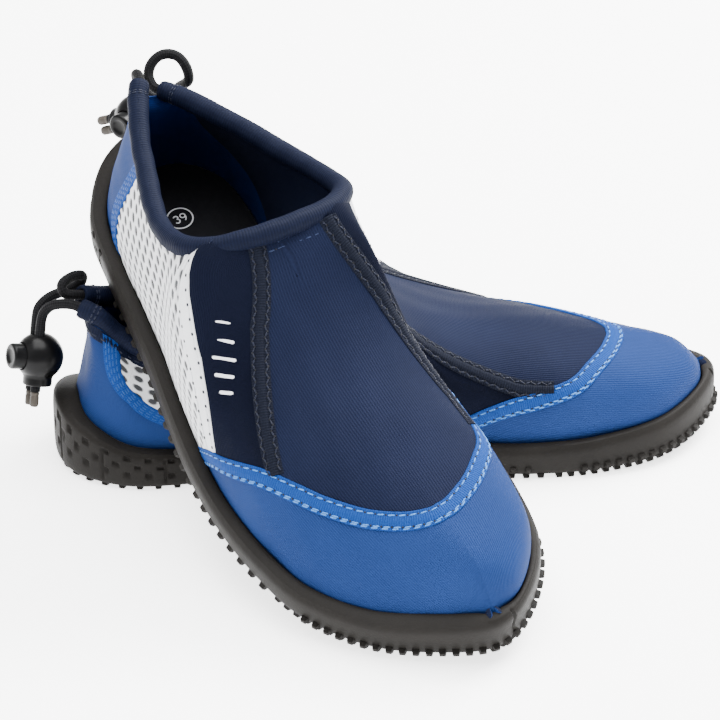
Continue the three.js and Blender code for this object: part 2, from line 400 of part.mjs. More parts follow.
function lockParts() {
  // ball with a short neck on the tail side, the cord along z and the button along y
  const prof = [[0, -BALL_R]]; for (let i = 1; i < 8; i++) { const t = -Math.PI / 2 + Math.PI * i / 8; prof.push([BALL_R * Math.cos(t), BALL_R * Math.sin(t)]); } prof.push([0, BALL_R]);
  let body = toManifold(lathe(prof, 15, Math.PI / 2));
  const neck = toManifold(lathe([[0, 0], [5.6, 0], [5.6, 10.6], [5.1, 11.2], [0, 11.2]], 12, Math.PI / 2));
  body = body.add(neck);
  const bore = toManifold(new THREE.CylinderGeometry(BORE_R, BORE_R, 20, 16).translate(0, 10 - 6.8, 0));
  const way = toManifold(slot(STRAND * 2 + 2 * CORD_R + 0.9, 2 * CORD_R + 0.9, 40).translate(0, SEAT_B, 0));
  body = body.subtract(bore).subtract(way);
  const shaft = toManifold(lathe([[0, -2.4], [BUTTON_R - 0.4, -2.4], [BUTTON_R, -2.0], [BUTTON_R, BUTTON_OUT - 0.7], [BUTTON_R - 0.7, BUTTON_OUT], [2.4, BUTTON_OUT], [1.6, BUTTON_OUT - 0.5], [0, BUTTON_OUT - 0.6]], 16));
  const wy0 = SEAT_B - CORD_R - 0.35, wy1 = SEAT_B + CORD_R + BUTTON_TRAVEL + 0.45;
  const win = toManifold(new THREE.BoxGeometry(STRAND * 2 + 2 * CORD_R + 0.7, wy1 - wy0, 30).translate(0, (wy0 + wy1) / 2, 0));
  const button = shaft.subtract(win);
  const coil = []; for (let i = 0; i <= 24; i++) { const t = i / 24, a = 2 * Math.PI * 3.2 * t; coil.push(V(3.5 * Math.cos(a), lerp(-6.2, -3.0, t), 3.5 * Math.sin(a))); }
  return { body: fromManifold(body), button: fromManifold(button), spring: tube(coil, 0.35, 4) };
}
const LOCK = lockParts();

// elastic: lateral tail -> lock -> collar tunnel -> lock -> medial tail
function cordPath(which) {
  const f = lockFrame(LOCKS[which]), x = f.b.clone().cross(f.a);
  const inLock = (u, dist) => f.c.clone().addScaledVector(f.b, SEAT_B).addScaledVector(x, u * STRAND).addScaledVector(f.a, dist);
  const B = BINDING, t0 = B[0].clone().sub(B[1]).normalize(), t1 = B[B.length - 1].clone().sub(B[B.length - 2]).normalize();
  const su = which === 'left' ? 1 : -1, near = LEADS[which], out0 = B[0].clone().addScaledVector(t0, 3), out1 = B[B.length - 1].clone().addScaledVector(t1, 3);
  const lead = (pts, step) => { const c = new THREE.CatmullRomCurve3(pts, false, 'centripetal'); return c.getSpacedPoints(Math.round(c.getLength() / step)); };
  return [inLock(su, 13.4), ...lead([inLock(su, -13.6), ...near.first, out0], 4), ...B, ...lead([out1, ...near.last, inLock(-su, -13.6)], 4), inLock(-su, 13.4)];
}
const LEADS = {
  right: { first: [V(-1.9, 10.0, 31.5), V(-0.2, 8.0, 37.5), V(1.8, 4.0, 45.0), V(3.6, 0.4, 52.5), V(5.0, -2.0, 59.0), V(6.4, -3.2, 64.2), V(8.2, -3.6, 67.0)],
    last: [V(6.6, 1.8, 61.8), V(4.0, 4.7, 64.4), V(3.6, 9.6, 66.3), V(6.6, 14.2, 65.9), V(11.2, 15.6, 63.3), V(13.6, 15.4, 59.2), V(11.6, 14.8, 55.0), V(8.0, 13.8, 50.0), V(5.0, 13.0, 44.0), V(3.0, 12.6, 37.5), V(1.6, 11.8, 30.6)] },
  left: { first: [V(-3.4, -6.2, 61.8), V(0.8, -9.2, 64.8), V(7.5, -11.4, 66.2), V(13.6, -13.4, 68.0), V(14.6, -12.4, 71.6), V(9.8, -8.6, 73.4), V(5.8, -4.8, 71.8), V(7.2, -3.3, 69.0)],
    last: [V(5.2, 1.2, 67.4), V(0.8, -0.8, 65.4), V(-1.7, -1.4, 62.4)] },
};

// ---------------------------------------------------------------- materials
const mat = (color, roughness, metalness = 0) => new THREE.MeshStandardMaterial({ color, roughness, metalness });
const M = {
  royal: mat(0x1f4fa3, 0.75), navy: mat(0x1b2747, 0.8), white: mat(0xe8eaee, 0.7), tape: mat(0x3565bd, 0.65), strip: mat(0x26355c, 0.7),
  rubber: mat(0x2b2b2d, 0.8), board: mat(0xb9b3a4, 0.9), sock: mat(0x16171a, 0.9), cord: mat(0x17171a, 0.85), lock: mat(0x26262a, 0.45), tip: mat(0x55504b, 0.6), steel: mat(0xa9adb2, 0.3, 1),
};

// ---------------------------------------------------------------- one shoe
function shoe(which) {
  setShape(which);
  const g = new THREE.Group(), add = (name, geometry, material) => { const m = new THREE.Mesh(geometry, material); m.name = `${which}_${name}`; g.add(m); return m; };
  add('outsole', outsoleGeometry(), M.rubber);
  add('insole_board', slab(11.2, FLOOR + GAP, FLOOR + GAP + BOARD), M.board);
  add('insole', slab(11.0, FLOOR + 2 * GAP + BOARD, FLOOR + 2 * GAP + BOARD + SOCK), M.sock);
  const lat = sidePanels(false), med = sidePanels(true);
  add('heel_panel', plate(inset(heelGrid(), GAP, [1, 1, 0, 0]), 0, -NEOPRENE), M.royal);
  add('lateral_mesh', plate(lat.mesh, 0, -NEOPRENE), M.white);
  add('medial_mesh', plate(med.mesh, 0, -NEOPRENE), M.white);
  add('lateral_panel', plate(lat.panel, 0, -NEOPRENE), M.navy);
  add('medial_panel', plate(med.panel, 0, -NEOPRENE), M.navy);
  add('vamp', plate(inset(vampGrid(), 4 * GAP), 0, -NEOPRENE), M.navy);
  add('toe_cap', plate(inset(toeGrid(), GAP, [1, 0, 0, 0]), 0, -NEOPRENE), M.royal);
  // seam tapes lie on the panels
  const lo = 0.65, hi = lo + TAPE;
  const toeC = seamCurve(TOE_SEAM, 0, TOE_SEAM.length - 1, 60);
  add('toe_tape', plate(ribbon(resample(toeC, 13, 11, 30), TAPE_W, 1), hi, lo), M.tape);
  const stripC = (T, md, kj) => Array.from({ length: 31 }, (_, i) => { const k = lerp(T[0][0], kj, i / 30), v = stripV(k, md); return [k, md ? 2 - v : v]; });
  add('lateral_strip', plate(ribbon(resample(stripC(STRIP_L, false, lat.kj), 2.6, 7.5, 10), TAPE_W, 2), hi, lo), M.strip);
  add('medial_strip', plate(ribbon(resample(stripC(STRIP_M, true, med.kj), 2.6, 17, 10), TAPE_W, 2), hi, lo), M.strip);
  const heelC = (md) => seamCurve(md ? HEEL_SEAM_M : HEEL_SEAM, 0, (md ? HEEL_SEAM_M : HEEL_SEAM).length - 1, 24).map(([k, w]) => { const v = clamp(w, 0, 1) * collarV(md ? -k : k); return md ? [k, 2 - v] : [k, v]; });
  add('heel_tape_lateral', plate(ribbon(resample(heelC(false), 3.2, 10.5, 10), HEEL_TAPE_W, 1), hi, lo), M.tape);
  add('heel_tape_medial', plate(ribbon(resample(heelC(true), 3.2, 26, 10), HEEL_TAPE_W, 1), hi, lo), M.tape);
  // collar binding and the drawcord in it
  add('collar_binding', tube(BINDING, BINDING_R, 8, TUNNEL_R), M.navy);
  add('drawcord', tube(cordPath(which), CORD_R, 6), M.cord);
  // cord lock
  const f = lockFrame(LOCKS[which]), x = f.b.clone().cross(f.a);
  add('lock_body', inFrame(LOCK.body, f), M.lock);
  add('lock_button', inFrame(LOCK.button, f), M.lock);
  add('lock_spring', inFrame(LOCK.spring, f), M.steel);
  const tipG = lathe([[0, 13.7], [1.5, 13.7], [1.8, 14.1], [1.75, 18.6], [1.3, 19.2], [0, 19.3]], 8, Math.PI / 2);
  for (const [n, u] of [['cord_tip_a', -1], ['cord_tip_b', 1]]) add(n, inFrame(tipG.clone().rotateX(0).translate(u * STRAND, SEAT_B, 0), f), M.tip);
  return g;
}

// ---------------------------------------------------------------- the pair as it stands
const pair = new THREE.Group();
const left = shoe('left');
left.position.x = -HALF;
const leftMirror = new THREE.Group(); leftMirror.scale.set(1, -1, 1); leftMirror.add(left);
const leftPlace = new THREE.Group(); leftPlace.add(leftMirror); leftPlace.rotation.z = LEFT_YAW; leftPlace.position.set(...LEFT_AT).add(V(...ORIGIN_SHIFT));
pair.add(leftPlace);

const right = shoe('right');
right.position.x = -HALF;
const rightPlace = new THREE.Group(); rightPlace.add(right);
rightPlace.quaternion.setFromRotationMatrix(new THREE.Matrix4().makeBasis(BX, BY, BZ));
rightPlace.position.set(...RIGHT_AT).add(V(...ORIGIN_SHIFT));
pair.add(rightPlace);

export default pair;
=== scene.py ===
import json
import math

import bmesh
import bpy
import numpy as np
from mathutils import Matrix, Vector


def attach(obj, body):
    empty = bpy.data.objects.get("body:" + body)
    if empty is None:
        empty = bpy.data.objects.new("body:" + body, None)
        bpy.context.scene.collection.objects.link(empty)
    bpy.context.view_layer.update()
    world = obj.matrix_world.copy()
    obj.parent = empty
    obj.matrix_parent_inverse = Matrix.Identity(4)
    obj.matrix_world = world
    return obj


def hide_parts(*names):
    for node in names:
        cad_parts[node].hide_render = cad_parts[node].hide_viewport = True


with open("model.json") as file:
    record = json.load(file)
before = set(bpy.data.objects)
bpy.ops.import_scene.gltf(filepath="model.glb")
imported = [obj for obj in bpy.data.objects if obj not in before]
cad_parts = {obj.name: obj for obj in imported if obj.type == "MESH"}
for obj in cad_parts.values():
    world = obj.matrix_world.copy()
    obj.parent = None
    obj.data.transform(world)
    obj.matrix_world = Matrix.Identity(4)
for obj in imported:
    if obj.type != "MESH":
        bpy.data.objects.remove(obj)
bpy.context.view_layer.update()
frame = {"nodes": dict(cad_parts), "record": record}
BODY = {n: b for b, ns in frame["record"]["behaviour"]["bodies"].items() for n in ns}

# ------------------------------------------------------------------ dimensions of the part, mm
NEOPRENE, FEATHER, FLOOR, BOARD, SOCK, GAP = 3.0, 7.0, 7.5, 1.5, 3.4, 0.3
BINDING_R, TUNNEL_R, CORD_R = 3.9, 2.75, 1.95
TAPE_W, HEEL_TAPE_W = 7.0, 6.6
BALL_R, BORE_R, BUTTON_R, BUTTON_OUT, STRAND, SEAT_B = 9.25, 5.3, 4.95, 12.3, 2.1, 1.6
OUT_L = [[0,0],[5,-20],[22,-34.5],[46,-39.5],[70,-42.5],[94,-46],[118,-50.5],[142,-54],[166,-55],[190,-52.5],[213,-46.5],[236,-32],[252,-12.5],[261,7]]
OUT_M = [[0,0],[6,18],[24,30.5],[46,33],[70,30.5],[94,28.5],[118,29.5],[140,35],[161,42],[184,46],[208,46],[234,40],[252.5,25],[261,7]]
RIM = [28.5,24.5,17.5,15,14.5,14.2,13.8,13.2,13,13.4,14.8,18,21.8,24.5]
BASE = [4.2,3.6,3,3,3,3,3,3,3,3,3.3,4.9,7.6,9.5]
TOP_L = [[12.0,0.0,69.0],[15.3,-8.0,74.7],[25.8,-12.6,67.8],[47.0,-19.9,66.8],[66.0,-26.3,67.7],[85.4,-30.3,72.7],[102.1,-21.7,79.2],[101.2,2.6,86.2],[131.8,2.7,63.6],[158.1,3.6,51.2],[187.0,5.1,45.5],[216.0,6.7,41.3],[243.0,7.7,36.7],[256.5,7.0,22.5]]
TOP_M = [[12.0,0.0,69.0],[15.3,7.9,67.3],[25.8,11.0,68.2],[47.0,20.7,66.8],[66.0,28.7,68.5],[86.4,34.7,76.4],[103.5,30.5,75.4]]
LEAN = [-7.7,-4.5,-1.0,0.0,0.0,0.0]
LEAN_OUT = [0,3.5,7.5,8,6.5,4]
RISE = [0.4,0.4,0.4,0.4,0.42,0.46,0.46,0.43,0.4,0.42,0.42,0.36,0.26,0.62]
RISE_M = [0.4,0.4,0.4,0.4,0.42,0.46,0.7,0.71,0.59,0.56,0.64,0.71,0.7,0.62]
REACH = [0.0,0.0,0.0,0.0,0.0,0.0,0.76,0.74,0.69,0.64,0.58,0.44,0.29,0.7]
REACH_M = [0.0,0.0,0.0,0.0,0.0,0.0,0.76,0.79,0.67,0.61,0.7,0.77,0.76,0.7]
BULGE = [-1.5,-0.5,1,1.5,1.5,1.5,2,2.5,3,4,4.5,4.5,3.2,1.5]
BULGE_M = [-1.5,-0.5,1.0,1.5,1.5,2.0,9.0,9.1,7.7,7.3,8.4,9.5,9.1,1.5]
COLLAR = [[13,-5,67.3],[18,-8,66.5],[25,-11.5,65.4],[37,-16.8,63.7],[49,-20.7,62.5],[62.5,-25.2,62.6],[76,-28.5,65],[87,-29.2,69.2],[95.5,-27.4,73.4],[102.8,-21.2,77.2],[107.2,-12,79.9],[109.6,1,80.6],[109.3,14,79.6],[106.6,26,76.6],[99.2,34.3,72],[89,34.4,67.8],[77,31.6,64.8],[63,27,62.2],[49,21.8,61.6],[36.5,16,62.4],[24.8,10.3,64.2],[18,7.1,65.5],[12.2,3.9,66.6]]
COLLAR_TAIL = [[49,21.8,61.4],[36.5,15.8,61],[24.8,10,60.6],[18.7,6.3,60.4],[14.2,2.9,60.2]]
HEEL_SEAM = [[2.85,1.0],[2.74,0.88],[2.6,0.6],[2.55,0.4],[2.62,0.18],[2.85,0.0]]
HEEL_SEAM_M = [[1.72,1.0],[1.72,0.76],[1.95,0.61],[2.35,0.49],[2.95,0.35],[3.6,0.18],[4.2,0.0]]
MESH_EDGE = [[6.15,1.0],[6.96,0.70],[7.3,0.49],[7.53,0.31],[7.62,0.12],[7.64,0.0]]
TOE_SEAM = [[6.75,0],[7.7,0.22],[8.73,0.42],[9.45,0.52],[9.97,0.58],[10.55,0.67],[10.97,0.81],[11.13,1.0],[10.87,1.19],[10.42,1.38],[9.98,1.53],[9.33,1.63],[8.73,1.71],[8.05,1.83],[7.3,2.0]]
STRIP_L = [[7.32,0.885],[7.86,0.82],[8.32,0.714],[8.81,0.585],[9.1,0.505]]
STRIP_M = [[7.2,0.735],[7.6,0.635],[8.1,0.555],[8.6,0.505],[9.1,0.445]]
LEFT_YAW, LEFT_AT = 0.1508, np.array([10.64, -55.27, 0.0])
RIGHT_X, RIGHT_Y, RIGHT_AT = np.array([0.49013, -0.7942, -0.35919]), np.array([0.87165, 0.44754, 0.19985]), np.array([-20.9, -109.3, 42.8])
ORIGIN_SHIFT, HALF = np.array([-10.43, 107.08, 0.0]), 131.0
PRESS = [[12,0],[22,0.34],[30,0.47],[45,0.46],[60,0.47],[75,0.51],[90,0.57],[105,0.59],[118,0.48],[130,0.32],[145,0.12],[160,0]]
PRESS_FROM, PRESS_BLEND, PRESS_EDGE = -28.0, 12.0, 14.0
LOCKS = {"right": ((-11.6, 3.9, 17.7), (-0.6285, -0.5147, -0.5832), (0.3671, -0.8573, 0.3609)),
         "left": ((-4.15, 1.7, 45.65), (-0.1516, 0.3314, -0.9312), (-0.9082, 0.3251, 0.2636))}
LEADS = {
    "right": ([(-1.9, 10.0, 31.5), (-0.2, 8.0, 37.5), (1.8, 4.0, 45.0), (3.6, 0.4, 52.5), (5.0, -2.0, 59.0), (6.4, -3.2, 64.2), (8.2, -3.6, 67.0)],
              [(6.6, 1.8, 61.8), (4.0, 4.7, 64.4), (3.6, 9.6, 66.3), (6.6, 14.2, 65.9), (11.2, 15.6, 63.3), (13.6, 15.4, 59.2), (11.6, 14.8, 55.0), (8.0, 13.8, 50.0), (5.0, 13.0, 44.0), (3.0, 12.6, 37.5), (1.6, 11.8, 30.6)]),
    "left": ([(-3.4, -6.2, 61.8), (0.8, -9.2, 64.8), (7.5, -11.4, 66.2), (13.6, -13.4, 68.0), (14.6, -12.4, 71.6), (9.8, -8.6, 73.4), (5.8, -4.8, 71.8), (7.2, -3.3, 69.0)],
             [(5.2, 1.2, 67.4), (0.8, -0.8, 65.4), (-1.7, -1.4, 62.4)])}

# ------------------------------------------------------------------ camera
ELEV, DIST = 0.51703, 1.253316
look = Vector((ORIGIN_SHIFT[0] / 1000, ORIGIN_SHIFT[1] / 1000, 0))
cam_data = bpy.data.cameras.new("camera")
cam_data.sensor_width = 36.0
cam_data.lens = 3039.5 / 720 * 36
cam_data.clip_start, cam_data.clip_end = 0.05, 30
camera = bpy.data.objects.new("camera", cam_data)
camera.location = look + Vector((0, -math.cos(ELEV), math.sin(ELEV))) * DIST
camera.rotation_euler = (math.pi / 2 - ELEV, 0, 0)
bpy.context.scene.collection.objects.link(camera)
bpy.context.scene.camera = camera

# ------------------------------------------------------------------ small maths
lerp = lambda a, b, t: a + (b - a) * t
smooth01 = lambda x: np.clip(x, 0, 1) ** 2 * (3 - 2 * np.clip(x, 0, 1))
unit = lambda a: a / np.maximum(np.linalg.norm(a, axis=-1, keepdims=True), 1e-12)


def ring(P, s):
    P = np.asarray(P, float)
    n = len(P)
    s = np.asarray(s, float)
    i = np.floor(s).astype(int)
    f = s - i
    if P.ndim > 1:
        f = f[..., None]
    p0, p1, p2, p3 = [P[(i + j) % n] for j in (-1, 0, 1, 2)]
    return 0.5 * (2 * p1 + (p2 - p0) * f + (2 * p0 - 5 * p1 + 4 * p2 - p3) * f * f + (3 * p1 - p0 - 3 * p2 + p3) * f ** 3)


def openc(P, s):
    P = np.asarray(P, float)
    n = len(P)
    s = np.asarray(s, float)
    i = np.clip(np.floor(s).astype(int), 0, n - 2)
    f = (s - i)[..., None]
    p0, p1, p2, p3 = [P[np.clip(i + j, 0, n - 1)] for j in (-1, 0, 1, 2)]
    return 0.5 * (2 * p1 + (p2 - p0) * f + (2 * p0 - 5 * p1 + 4 * p2 - p3) * f * f + (3 * p1 - p0 - 3 * p2 + p3) * f ** 3)


_tables = {}


def table(T, x, ix=0, iy=1):
    key = (id(T), ix, iy)
    if key not in _tables:
        q = openc(T, np.linspace(0, len(T) - 1, 3001))
        a, b = q[:, ix], q[:, iy]
        if a[-1] < a[0]:
            a, b = a[::-1], b[::-1]
        _tables[key] = (np.maximum.accumulate(a), b)
    a, b = _tables[key]
    return np.interp(x, a, b)


def both(L, M):
    return np.array(list(L) + [M[12 - i] for i in range(12)], float)


OUT, RIMS, BASES = both(OUT_L, OUT_M), both(RIM, RIM), both(BASE, BASE)
TOP = both(TOP_L, TOP_M + TOP_L[7:])


def spring(x):
    return np.where(x > 195, 6 * ((x - 195) / 66) ** 2, np.where(x < 12, 1.2 * ((12 - x) / 12) ** 2, 0))


def outward(s):
    s = np.asarray(s, float)
    p, a, b = ring(OUT, s), ring(OUT, s - 0.01), ring(OUT, s + 0.01)
    d = b - a
    ln = np.hypot(d[..., 0], d[..., 1])
    nx, ny = -d[..., 1] / ln, d[..., 0] / ln
    sg = np.where((p[..., 0] - 128) * nx + p[..., 1] * ny < 0, -1, 1)
    return p, np.stack([nx * sg, ny * sg], -1)


def build_last():
    F, A, B = [], [], []
    for s in range(26):
        k = s if s <= 13 else 26 - s
        side = -1 if s <= 13 else 1
        p, n = outward(float(s))
        T = TOP[s]
        fx, fy = p - n * FEATHER
        fz = FLOOR + 0.7 + float(spring(p[0]))
        h = T[2] - fz
        F.append([fx, fy, fz])
        bu = (BULGE if s <= 13 else BULGE_M)[k]
        A.append([fx + n[0] * bu, fy + n[1] * bu, fz + (RISE if s <= 13 else RISE_M)[k] * h])
        if k < 6:
            B.append([T[0] - LEAN[k], T[1] + side * LEAN_OUT[k], T[2] - 0.42 * h])
        else:
            dx, dy = fx - T[0], fy - T[1]
            L = math.hypot(dx, dy)
            dx, dy = dx / L, dy / L
            w = [0.3, 0.1, 0, 0, 0.1, 0.35, 0.85, 1][k - 6]
            ex = -0.35 if k == 6 else w * dx
            ey = side if k == 6 else (1 - w) * side + w * dy
            l = math.hypot(ex, ey)
            ex, ey = ex / l, ey / l
            slope = (TOP_L[k + 1][2] - TOP_L[k - 1][2]) / (TOP_L[k + 1][0] - TOP_L[k - 1][0]) if k < 13 else -1
            r = (REACH if s <= 13 else REACH_M)[k] * L
            B.append([T[0] + ex * r, T[1] + ey * r, T[2] + slope * ex * r * 0.8])
    return np.array(F), np.array(A), np.array(B)


F0, H1, H2 = build_last()


def last(s, t):
    f, a, b, c = ring(F0, s), ring(H1, s), ring(H2, s), ring(TOP, s)
    t = np.asarray(t, float)[..., None]
    u = 1 - t
    return u ** 3 * f + 3 * u * u * t * a + 3 * u * t * t * b + t ** 3 * c


def at(k, v):
    k, v = np.broadcast_arrays(np.asarray(k, float), np.asarray(v, float))
    return last(np.where(v <= 1, k, -k), np.where(v <= 1, v, 2 - v))


def normal(k, v):
    k, v = np.broadcast_arrays(np.asarray(k, float), np.asarray(v, float))
    d = 0.02
    a = at(k + d, v) - at(k - d, v)
    b = at(k, np.minimum(v + d, 2)) - at(k, np.maximum(v - d, 0))
    n = unit(np.cross(a, b))
    side = np.where((v <= 1) | (k >= 0), 1.0, np.where(v < 1, 1.0, -1.0))
    return n * side[..., None]


SIGN = 1.0 if normal(8.0, 0.5)[2] > 0 else -1.0
BX = unit(RIGHT_X)
BY = unit(RIGHT_Y - BX * np.dot(RIGHT_Y, BX))
BZ = np.cross(BX, BY)
OUTLINE = ring(OUT, np.arange(104) / 4)


def inside_sole(x, y):
    A, B = np.roll(OUTLINE, 1, axis=0), OUTLINE
    ex, ey = B[:, 0] - A[:, 0], B[:, 1] - A[:, 1]
    X, Y = x[:, None], y[:, None]
    t = np.clip(((X - A[:, 0]) * ex + (Y - A[:, 1]) * ey) / (ex * ex + ey * ey), 0, 1)
    best = np.hypot(X - A[:, 0] - t * ex, Y - A[:, 1] - t * ey).min(1)
    cross = ((A[:, 1] > Y) != (B[:, 1] > Y)) & (X < A[:, 0] + (Y - A[:, 1]) / np.where(ey == 0, 1e-9, ey) * ex)
    return np.where(cross.sum(1) % 2 == 1, best, -best)


def pressed(P):
    shape = P.shape
    p = P.reshape(-1, 3).copy()
    T = np.array(PRESS, float)
    k = np.interp(p[:, 0], T[:, 0], T[:, 1], left=0, right=0)
    c, n = math.cos(LEFT_YAW), math.sin(LEFT_YAW)
    lx, ly = p[:, 0] - HALF, -p[:, 1]
    w = np.stack([c * lx - n * ly + LEFT_AT[0], n * lx + c * ly + LEFT_AT[1], p[:, 2] + LEFT_AT[2]], 1) - RIGHT_AT
    u = w @ BZ - PRESS_FROM
    m = (k > 0) & (u > 0)
    if m.any():
        q, wm, um = p[m], w[m], u[m]
        e = np.clip(inside_sole(wm @ BX + HALF, wm @ BY) / PRESS_EDGE + 1, 0, 1)
        s = e * e * (3 - 2 * e)
        g = np.clip((q[:, 1] + 20) / 18, 0, 1)
        d = k[m] * s * g * g * (3 - 2 * g) * np.where(um < PRESS_BLEND, um * um / (2 * PRESS_BLEND), um - PRESS_BLEND / 2)
        p[m] = q + d[:, None] * np.array([-(c * BZ[0] + n * BZ[1]), -n * BZ[0] + c * BZ[1], -BZ[2]])
    return p.reshape(shape)


def place(P, which):
    """One shoe's own frame, mm, to the row frame, m."""
    P = np.asarray(P, float)
    if which == "left":
        x, y, z = P[..., 0] - HALF, -P[..., 1], P[..., 2]
        c, n = math.cos(LEFT_YAW), math.sin(LEFT_YAW)
        W = np.stack([c * x - n * y, n * x + c * y, z], -1) + LEFT_AT
    else:
        W = (P[..., 0:1] - HALF) * BX + P[..., 1:2] * BY + P[..., 2:3] * BZ + RIGHT_AT
    return (W + ORIGIN_SHIFT) / 1000


def catmull(points, step):
    """Centripetal spline through points, at even steps."""
    P = np.asarray(points, float)
    Q = np.vstack([2 * P[0] - P[1], P, 2 * P[-1] - P[-2]])
    out = []
    for i in range(len(P) - 1):
        x0, x1, x2, x3 = Q[i:i + 4]
        d0, d1, d2 = [max(np.linalg.norm(b - a) ** 0.5, 1e-4) for a, b in ((x0, x1), (x1, x2), (x2, x3))]
        t1 = ((x1 - x0) / d0 - (x2 - x0) / (d0 + d1) + (x2 - x1) / d1) * d1
        t2 = ((x2 - x1) / d1 - (x3 - x1) / (d1 + d2) + (x3 - x2) / d2) * d1
        t = np.linspace(0, 1, 60, endpoint=False)[:, None]
        out.append(x1 + t1 * t + (-3 * x1 + 3 * x2 - 2 * t1 - t2) * t * t + (2 * x1 - 2 * x2 + t1 + t2) * t ** 3)
    C = np.vstack(out + [P[-1:]])
    L = np.r_[0, np.cumsum(np.linalg.norm(np.diff(C, axis=0), axis=1))]
    n = max(2, int(round(L[-1] / step)))
    s = np.linspace(0, L[-1], n + 1)
    return np.stack([np.interp(s, L, C[:, c]) for c in range(3)], 1)


def ripple(P, amp):
    """Slow hand-made unevenness of stretched foam cloth, mm."""
    x, y, z = P[..., 0], P[..., 1], P[..., 2]
    return amp * (0.45 * np.sin(x / 9.1 + 0.7 * np.sin(y / 11.3) + 1.1) + 0.35 * np.sin(y / 7.3 + x / 17.9 + z / 12.1) + 0.2 * np.sin((x + 2 * z) / 5.3 + 0.4 * y))


# ------------------------------------------------------------------ the current shoe
class Shoe:
    pass


S = Shoe()


def skin(k, v, off=0.0):
    p = at(k, v) + normal(k, v) * SIGN * np.asarray(off, float)[..., None]
    return pressed(p) if S.which == "left" else p


def to_binding(k, v):
    p = skin(k, v, -NEOPRENE / 2 * np.ones(np.broadcast(k, v).shape))
    q = p.reshape(-1, 3)
    d = np.empty(len(q))
    for i in range(0, len(q), 4000):
        d[i:i + 4000] = np.sqrt(((q[i:i + 4000, None, :] - S.fine[None]) ** 2).sum(2)).min(1)
    return d.reshape(p.shape[:-1])


def first_under(D, x, gap):
    """Per row of D (distances at positions x): first x where it drops under gap, else where it is least."""
    out = np.empty(len(D))
    for i, row in enumerate(D):
        hit = np.nonzero(row < gap)[0]
        if len(hit) and hit[0] > 0:
            j = hit[0]
            f = (row[j - 1] - gap) / (row[j - 1] - row[j])
            out[i] = x[j - 1] + f * (x[j] - x[j - 1])
        elif len(hit):
            out[i] = x[0]
        else:
            out[i] = x[int(np.argmin(row))]
    return out


def set_shape(which):
    S.which = which
    line = np.array(COLLAR if which == "left" else COLLAR[:-len(COLLAR_TAIL)] + COLLAR_TAIL, float)
    S.binding = catmull(pressed(line) if which == "left" else line, 0.55)
    S.fine = S.binding[::3]
    vs, ks = np.linspace(0.55, 1.0, 91), np.arange(76) * 0.1
    S.kk = ks
    for side, name in ((1, "edge_l"), (-1, "edge_m")):
        D = to_binding(side * ks[:, None], vs[None, :])
        tight = first_under(D, vs, BINDING_R - 1.5)
        edge = first_under(D, vs, BINDING_R + 0.55)
        tight[:5] = tight[5]
        edge[:5] = edge[5]
        setattr(S, name, tight)
        setattr(S, name.replace("edge", "rim"), edge)
    for a, b in (("edge_l", "edge_m"), ("rim_l", "rim_m")):
        A, B = getattr(S, a), getattr(S, b)
        A[:5] = B[:5] = min(A[5], B[5])
    vv = np.linspace(0, 2, 81)
    kk = np.linspace(8.6, 5.5, 121)
    D = to_binding(kk[None, :], vv[:, None])
    S.throat_v, S.throat_k, S.throat_rim = vv, first_under(D, kk, BINDING_R - 1.5), first_under(D, kk, BINDING_R + 0.55)


def collar_v(k, rim=False):
    k = np.asarray(k, float)
    L, M = (S.rim_l, S.rim_m) if rim else (S.edge_l, S.edge_m)
    return np.where(k >= 0, np.interp(np.abs(k), S.kk, L), np.interp(np.abs(k), S.kk, M))


def throat_k(v, rim=False):
    return np.interp(v, S.throat_v, S.throat_rim if rim else S.throat_k)


seam_k = lambda v: table(TOE_SEAM, v, 1, 0)
_sv = np.linspace(0, 1, 800)
SEAM_L, SEAM_M = np.maximum.accumulate(seam_k(_sv)), np.maximum.accumulate(seam_k(2 - _sv))


def strip_v(k, med):
    T = STRIP_M if med else STRIP_L
    k0 = T[0][0]
    kk = np.clip(k, k0, T[-1][0])
    return lerp(collar_v(-k0 if med else k0), table(T, kk), np.clip((kk - k0) / 0.6, 0, 1))


def low_v(k, med):
    return np.where(k > (float(seam_k(2.0)) if med else float(seam_k(0.0))), np.interp(k, SEAM_M if med else SEAM_L, _sv), 0.0)


def high_v(k, med):
    T = STRIP_M if med else STRIP_L
    return np.where(k < T[0][0], collar_v(-k if med else k), strip_v(k, med))


def side_q(k, w, med):
    kend = (STRIP_M if med else STRIP_L)[-1][0]
    v = lerp(low_v(k, med), high_v(np.minimum(k, kend), med), w)
    return k, (2 - v if med else v)


def tip_k(med):
    T = STRIP_M if med else STRIP_L
    k = np.arange(T[0][0], 12, 0.01)
    g = high_v(np.minimum(k, T[-1][0]), med) - low_v(k, med)
    return float(k[np.nonzero(g <= 0.012)[0][0]])


def axis(L, n, extra=(0.0, 0.2, 0.5, 0.95, 1.6)):
    """Positions 0..1 along an edge of about L mm, closer together at both ends."""
    e = np.array(extra) / L
    mid = np.linspace(e[-1], 1 - e[-1], n)[1:-1]
    return np.r_[e, mid, 1 - e[::-1]]


